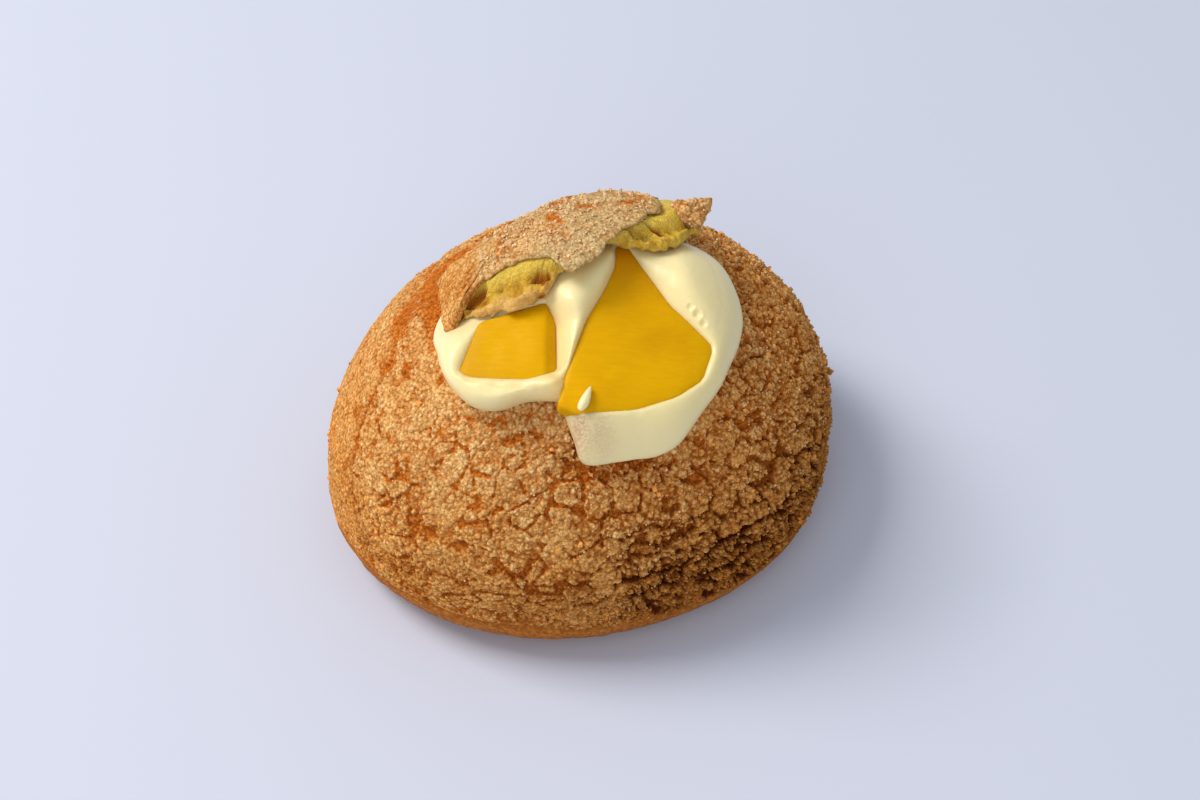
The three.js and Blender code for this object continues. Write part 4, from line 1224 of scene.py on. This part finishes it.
class CREAMPUFF_OT_cream(PieceOperator, bpy.types.Operator):
    """Build the cream that fills the bun and wells out over its rim, and the dab on the mango"""

    bl_idname = "cream_puff.cream"
    bl_label = "Cream"

    def execute(self, context):
        self.filling()
        self.dab()
        return {"FINISHED"}

    def filling(self):
        """The cream as rings about one pole: over its top, down a roll to the crust, in under the roll to
        the opening, and down the inside of the bun."""
        pole = np.array(CREAM_POLE)
        edge = self.edge(pole)
        reach = np.linalg.norm(edge - pole, axis=1)
        mangoes = [(m, footprint(m)) for m in (MANGO_LARGE, MANGO_SMALL)]

        def plan(inward):
            """Plan positions at distances in from the edge towards the pole."""
            share = 1 - inward / reach
            return pole[0] + (edge[:, 0] - pole[0]) * share, pole[1] + (edge[:, 1] - pole[1]) * share

        room = self.roll_width(edge, mangoes)
        angle = np.radians(np.linspace(90, 0, 25)[1:, None])
        inward = room + (reach - room) * (1 - np.linspace(0, 1, CREAM_ROWS)[1:, None])
        x, y = plan(np.vstack([inward, room * (1 - np.cos(angle))]))
        near = np.min([np.abs(outside(x, y, outline)) for _, outline in mangoes], axis=0)
        h = settled(self.top(x, y, mangoes), smoothstep(0.2, 1.4, near), 45)
        for bx, by, size, depth in CREAM_PITS:
            away = np.hypot(x - bx, y - by) / size
            h = h - depth * np.exp(-(away**2)) + 0.35 * depth * np.exp(-(((away - 1.7) / 0.5) ** 2))
        rise = np.vstack([np.ones((CREAM_ROWS - 1, 1)), np.sin(angle)])
        base = np.minimum(0.3 * h, 1.3)
        rings = list(on_crown(x, y, base + (h - base) * rise))
        for down in np.radians((25, 50, 75)):
            x, y = plan(0.7 * (1 - math.cos(down)))
            rings.append(on_crown(x, y, base[-1] - (base[-1] + 1.2) * math.sin(down)))
        rings = np.vstack([np.stack(rings), self.inside(edge, pole)])[::-1]

        x, y = rings[..., 0], rings[..., 1]
        stain = 0 * x
        for sx, sy, wide, deep, strength in CREAM_STAINS:
            spot = ((x - sx) / wide) ** 2 + ((y - sy) / deep) ** 2
            stain = np.maximum(stain, strength * np.exp(-spot))
        # Painted light: peach reflected from the fruit beside it, and shade in the valley between the pieces.
        fruit = np.vstack([np.exp(-near / 1.1), np.zeros((len(rings) - len(near), CREAM_COLUMNS))])[::-1]
        gap = np.exp(-(((x + 3.0) / 2.2) ** 2)) * smoothstep(-9, -15, y)
        glow = np.clip(0.45 * fruit + 0.55 * gap, 0, 1)
        crest = on_crown(pole[:1], pole[1:], h[0].mean() + 0 * pole[:1])[0]
        floor = np.array([0, 0, WALL + CREAM_PLAY])
        piece = closed_mesh("cream_filling", rings, floor, crest, stain=np.clip(stain, 0, 1), glow=glow)
        finish_piece(piece, "Cream", "cream", "cream")

    def edge(self, pole):
        """The cream's outline in plan, a little wavy, swollen where the lower lobe bulges."""
        edge = smooth_outline(CREAM_EDGE, CREAM_COLUMNS)
        bx, by, spread, amount = CREAM_BULGE
        wave = 0.2 * noise(np.column_stack([edge, np.zeros(CREAM_COLUMNS)]), 3.5, 2)
        swollen = amount * np.exp(-((edge[:, 0] - bx) ** 2 + (edge[:, 1] - by) ** 2) / spread**2)
        return edge + unit(edge - pole) * (wave + swollen)[:, None]

    def roll_width(self, edge, mangoes):
        """How far in from the edge the cream has risen to its top: up to the fruit, within limits, and
        evened out along the edge."""
        room = np.min([outside(edge[:, 0], edge[:, 1], outline) for _, outline in mangoes], axis=0)
        room = np.clip(0.95 * room, 2.2 + 1.9 * smoothstep(-22, -26, edge[:, 1]), 5.2)
        return np.convolve(np.tile(room, 3), np.ones(25) / 25, "same")[CREAM_COLUMNS : 2 * CREAM_COLUMNS]

    def top(self, x, y, mangoes):
        """Height of the top above the crown: lower behind under the lid, with a ridge along the large
        mango's left edge, a valley in the gap, and a lower lobe and a right side that fall away. It comes
        up to each piece of fruit, and lips a little over the small one's front edge."""
        sink = smoothstep(-2, 12, y)
        h = self.settings.cream_height / MM * (1 - sink) - 0.8 * sink
        past = x - 4.9 - 0.49 * (y + 5.8)
        ridge = np.exp(-((past / np.where(past > 0, 1.5, 3.4)) ** 2))
        h = h + 2.2 * ridge * smoothstep(-19, -12, y) * (1 - smoothstep(-8, -1, y))
        h = h - 2.0 * smoothstep(-23.5, -27.5, y) * smoothstep(-4, 1, x)
        h = h - 1.3 * np.exp(-(((x + 4.8) / 1.3) ** 2)) * smoothstep(-5, -9, y)
        h = h - 1.6 * np.exp(-(((x + 3.4) / 1.5) ** 2)) * smoothstep(-13.5, -18.5, y)
        right = 1.2 - 0.26 * np.maximum(x - 12, 0)
        h = h + right * smoothstep(11, 14, x) * smoothstep(-20, -12, y) * (1 - sink)
        q = np.stack([x, y, 0 * x], -1)
        h = h + 0.30 * noise(q, 6.0, 4) + 0.08 * noise(q, 2.4, 7)
        for piece, outline in mangoes:
            h = self.beside(piece, outline, x, y, h)
        away = outside(x, y, smooth_outline(LID_CRUMB_EDGE, 90))
        roof = lid_floor(x, y) - 0.2 + (0.9 + 3 * smoothstep(-10, -5, x)) * np.maximum(away, 0)
        return soft_least(h, roof, 2.0)

    def beside(self, piece, outline, x, y, h):
        """Height h of the cream brought level with a piece of fruit at its edge, and under it inside."""
        origin, across, along, _ = plane_of(piece)
        away = outside(x, y, outline)
        level = height_over_crown(piece, x, y)
        spot = on_crown(x, y, level) - origin
        u, v = spot @ across, spot @ along
        level = level - 0.004 * (u * u + v * v)
        # over is how far the cream lips over the fruit, low how far it stays under the fruit's face, bulge
        # how far it may swell beside it, and slope how steeply it may fall away from it.
        if piece is MANGO_SMALL:
            lip = 0.85 + 0.6 * smoothstep(2, 6, u) + 0.35 * noise(np.stack([x, y, 0 * x], -1), 1.6, 9)
            over = smoothstep(-3.4, -5.2, v) * smoothstep(9.2, 7.8, u) * lip
            low = 1.7 * smoothstep(5.0, 6.6, u) * smoothstep(6.5, 3.0, v) * smoothstep(-6.4, -4.6, v)
            bulge, slope = 0, 0.7
        else:
            over = 0 * x
            low = 0.2 * smoothstep(-6.5, -8.5, v + 0.12 * u) * smoothstep(10, 4, u)
            low = low + 1.0 * smoothstep(-1.5, -5, v) * smoothstep(-8.5, -10.5, u)
            bulge = 1.5 * smoothstep(-7, 3, v) * smoothstep(0, -3, u)
            slope = 0.7 + 0.9 * smoothstep(-4.5, -7.5, v)
        rising = np.where(away > 0, 1.1 * away, 0)
        limit = level - 0.15 - low + over + rising + bulge * smoothstep(0, 0.8, away)
        limit = limit - 5 * np.clip(-away - 1.3 * over, 0, 0.6)
        under = np.maximum(-away - 1.2 * over, 0)
        least = level - 0.35 - low + over - slope * np.maximum(away, 0) - 6 * under
        least = least - 3 * np.maximum(away - 2.2, 0)
        return soft_least(-soft_least(-h, -least, 0.5), limit, 0.3)

    def inside(self, edge, pole):
        """Rings just inside the rim of the opening and down the inside of the bun to the floor."""
        hole = smooth_outline(HOLE_EDGE, 300)
        target = pole + unit(edge - pole) * (edge_reach(edge - pole, hole, pole) - 0.4)[:, None]
        collar = on_crown(target[:, 0], target[:, 1], np.full(CREAM_COLUMNS, -1.5))
        inset = WALL + CREAM_PLAY
        c, s = math.cos(TURN), math.sin(TURN)
        u = (target[:, 0] * c + target[:, 1] * s) / (LENGTH / 2 - inset)
        v = (-target[:, 0] * s + target[:, 1] * c) / (WIDTH / 2 - inset)
        phi, start = np.arctan2(v, u), np.arccos(np.clip(np.hypot(u, v), 0, 0.999))
        t = np.vstack([np.linspace(1, 0, 9)[:, None] * start[None],
                       np.radians(np.linspace(0, -90, 5)[1:])[:, None] + 0 * phi])
        rings, _ = bun(phi[None] + 0 * t, t, inset)
        return np.vstack([collar[None], rings])

    def dab(self):
        """A small dab of cream on the large mango: an egg with a drawn-out tip, pressed on its plane."""
        origin, across, along, facing = plane_of(MANGO_LARGE)
        u = np.linspace(0, 2 * math.pi, 48, endpoint=False)[None]
        v = np.linspace(-0.5, 0.5, 26)[1:-1, None] * math.pi
        local = np.stack([np.cos(v) * np.cos(u), np.cos(v) * np.sin(u), np.sin(v) + 0 * u], -1)
        lean = 0.75 * np.clip(local[..., 1] + 0.5, 0, 1.5)
        local = local * (1 - 0.45 * lean[..., None] * np.array([1, 0, 0.6]))
        local = local * np.array(DAB_SIZE) * (1 + 0.08 * rough(local, 1.0, 2, 3)[..., None])
        right, ahead = DAB_PLACE
        x, y, z = local[..., 0] + 0.35 * local[..., 1] + right, local[..., 1] + ahead, local[..., 2] + 0.15
        rings = origin + x[..., None] * across + y[..., None] * along + z[..., None] * facing
        low, high = (origin + right * across + ahead * along + k * facing for k in (-0.65, 0.9))
        none = np.zeros(rings.shape[:2])
        piece = closed_mesh("cream_dab", rings, low, high, stain=none, glow=none)
        finish_piece(piece, "Cream", "cream")


def settled(h, loose, times):
    """Heights on a grid of rings, eased towards their neighbours' mean the given number of times where
    loose is 1, and held where it is 0."""
    for _ in range(times):
        around = (np.roll(h, 1, axis=1) + 2 * h + np.roll(h, -1, axis=1)) / 4
        ends = np.vstack([around[:1], around, around[-1:]])
        h = h + loose * ((ends[:-2] + 2 * around + ends[2:]) / 4 - h)
    return h


def soft_least(a, b, k):
    """The lesser of a and b, rounded where they meet, over about k."""
    h = np.clip(0.5 + 0.5 * (b - a) / k, 0, 1)
    return b * (1 - h) + a * h - k * h * (1 - h)


class CREAMPUFF_OT_mango(PieceOperator, bpy.types.Operator):
    """Build the two pieces of mango"""

    bl_idname = "cream_puff.mango"
    bl_label = "Mango"

    def execute(self, context):
        self.fruit("mango_wedge", MANGO_LARGE, "mango_large", 1)
        self.fruit("mango_block", MANGO_SMALL, "mango_small", 2)
        return {"FINISHED"}

    def fruit(self, name, piece, node, seed):
        """A piece of mango: a slab on its own plane whose upper face is slightly domed and wavy, more
        orange towards its far tip, there as painted shade of the lid, and down its sides."""
        origin, across, along, facing = plane_of(piece)
        outline = cornered_outline(piece["corners"], piece["rounding"], 300)

        def place(x, y, share):
            """Points of the slab, and how orange they are, the tip's orange being painted shade of the lid.
            """
            q = np.stack([x, y, 0 * x], -1)
            wave = 0.16 * noise(q, 6.0, seed) + 0.05 * noise(q, 2.0, seed + 5)
            if "facet" in piece:
                wave = wave - 0.9 * np.maximum(x - piece["facet"], 0)
            h = -piece["depth"] * (1 - share) + (wave - 0.004 * (x * x + y * y)) * share
            # Painted shade of the lid towards the far tip; deeper orange down the sides.
            deep = 0.7 * smoothstep(6, 17, y + 0.4 * noise(q, 3.0, seed)) + 0.25 * (1 - share)
            return origin + x[..., None] * across + y[..., None] * along + h[..., None] * facing, deep

        rings, low, high, (deep,) = slab_grid(outline, place, 60, 26, 8, 8.0)
        made = closed_mesh(name, rings, low, high, deep=deep)
        finish_piece(made, "Mango", "mango", node)


class CREAMPUFF_OT_stage(PieceOperator, bpy.types.Operator):
    """Build the floor, the lights and the camera"""

    bl_idname = "cream_puff.stage"
    bl_label = "Stage"

    def execute(self, context):
        scene = context.scene
        scene.view_settings.view_transform = "Standard"
        corners = TABLE_HALF * np.array([(-1, -1, 0), (1, -1, 0), (1, 1, 0), (-1, 1, 0)], float)
        floor = new_mesh("floor", corners, np.array([[0, 1, 2, 3]]), np.zeros((0, 3), int), {})
        table, _, shader = material("Pale table", 0.6, Specular_IOR_Level=0.2)
        shader.inputs["Base Color"].default_value = TABLE_TINT
        floor.data.materials.append(table)
        world = bpy.data.worlds.new("Soft room")
        scene.world = world
        world.use_nodes = True
        room = world.node_tree.nodes["Background"]
        room.inputs["Color"].default_value = ROOM_TINT
        room.inputs["Strength"].default_value = ROOM_STRENGTH
        self.lamp(scene, "key", self.settings.key_power, **KEY_LIGHT)
        self.lamp(scene, "fill", self.settings.fill_power, **FILL_LIGHT)
        self.camera(scene)
        return {"FINISHED"}

    def lamp(self, scene, name, power, place, size, tint):
        """A square light aimed at the bun."""
        data = bpy.data.lights.new(name, "AREA")
        data.energy, data.size, data.color = power, size, tint
        lamp = bpy.data.objects.new(name, data)
        lamp.location = place
        lamp.rotation_euler = (Vector(LIGHTS_AIM) - Vector(place)).to_track_quat("-Z", "Y").to_euler()
        scene.collection.objects.link(lamp)

    def camera(self, scene):
        """Looks along +Y and down, from as far as makes the bun fill its share of the frame."""
        tilt = math.radians(CAMERA["tilt"])
        back = Vector((0, -math.cos(tilt), math.sin(tilt)))
        right, up = Vector((1, 0, 0)), Vector((0, math.sin(tilt), math.cos(tilt)))
        aim = Vector((0, 0, CAMERA["height"])) + right * CAMERA["right"] - up * CAMERA["below"]
        data = bpy.data.cameras.new("camera")
        data.lens, data.sensor_width = CAMERA["lens"], CAMERA["sensor"]
        data.clip_start, data.clip_end = 0.01, 10.0
        camera = bpy.data.objects.new("camera", data)
        camera.location = (aim + back * CAMERA["distance"]) * MM
        camera.rotation_euler = (-back).to_track_quat("-Z", "Y").to_euler()
        scene.collection.objects.link(camera)
        scene.camera = camera


class CREAMPUFF_PT_sidebar(bpy.types.Panel):
    """The sidebar's list of sizes, colours and pieces"""

    bl_label = "Cream puff"
    bl_idname = "CREAMPUFF_PT_sidebar"
    bl_space_type = "VIEW_3D"
    bl_region_type = "UI"
    bl_category = "Cream puff"

    def draw(self, context):
        for name in CreamPuffSettings.__annotations__:
            self.layout.prop(context.scene.cream_puff, name)
        for operator in OPERATORS:
            self.layout.operator(operator.bl_idname)


OPERATORS = (
    CREAMPUFF_OT_materials,
    CREAMPUFF_OT_choux_body,
    CREAMPUFF_OT_cookie_crust,
    CREAMPUFF_OT_lid,
    CREAMPUFF_OT_cream,
    CREAMPUFF_OT_mango,
    CREAMPUFF_OT_stage,
)
CLASSES = (CreamPuffSettings, *OPERATORS, CREAMPUFF_PT_sidebar)


def register():
    """Makes the classes known to Blender and gives its scenes the settings."""
    for c in CLASSES:
        bpy.utils.register_class(c)
    bpy.types.Scene.cream_puff = PointerProperty(type=CreamPuffSettings)


def unregister():
    """Takes back what register gave."""
    del bpy.types.Scene.cream_puff
    for c in reversed(CLASSES):
        bpy.utils.unregister_class(c)


def main():
    """Builds every piece and the stage in order."""
    register()
    for operator in OPERATORS:
        area, name = operator.bl_idname.split(".")
        getattr(getattr(bpy.ops, area), name)()


if __name__ == "__main__":
    main()
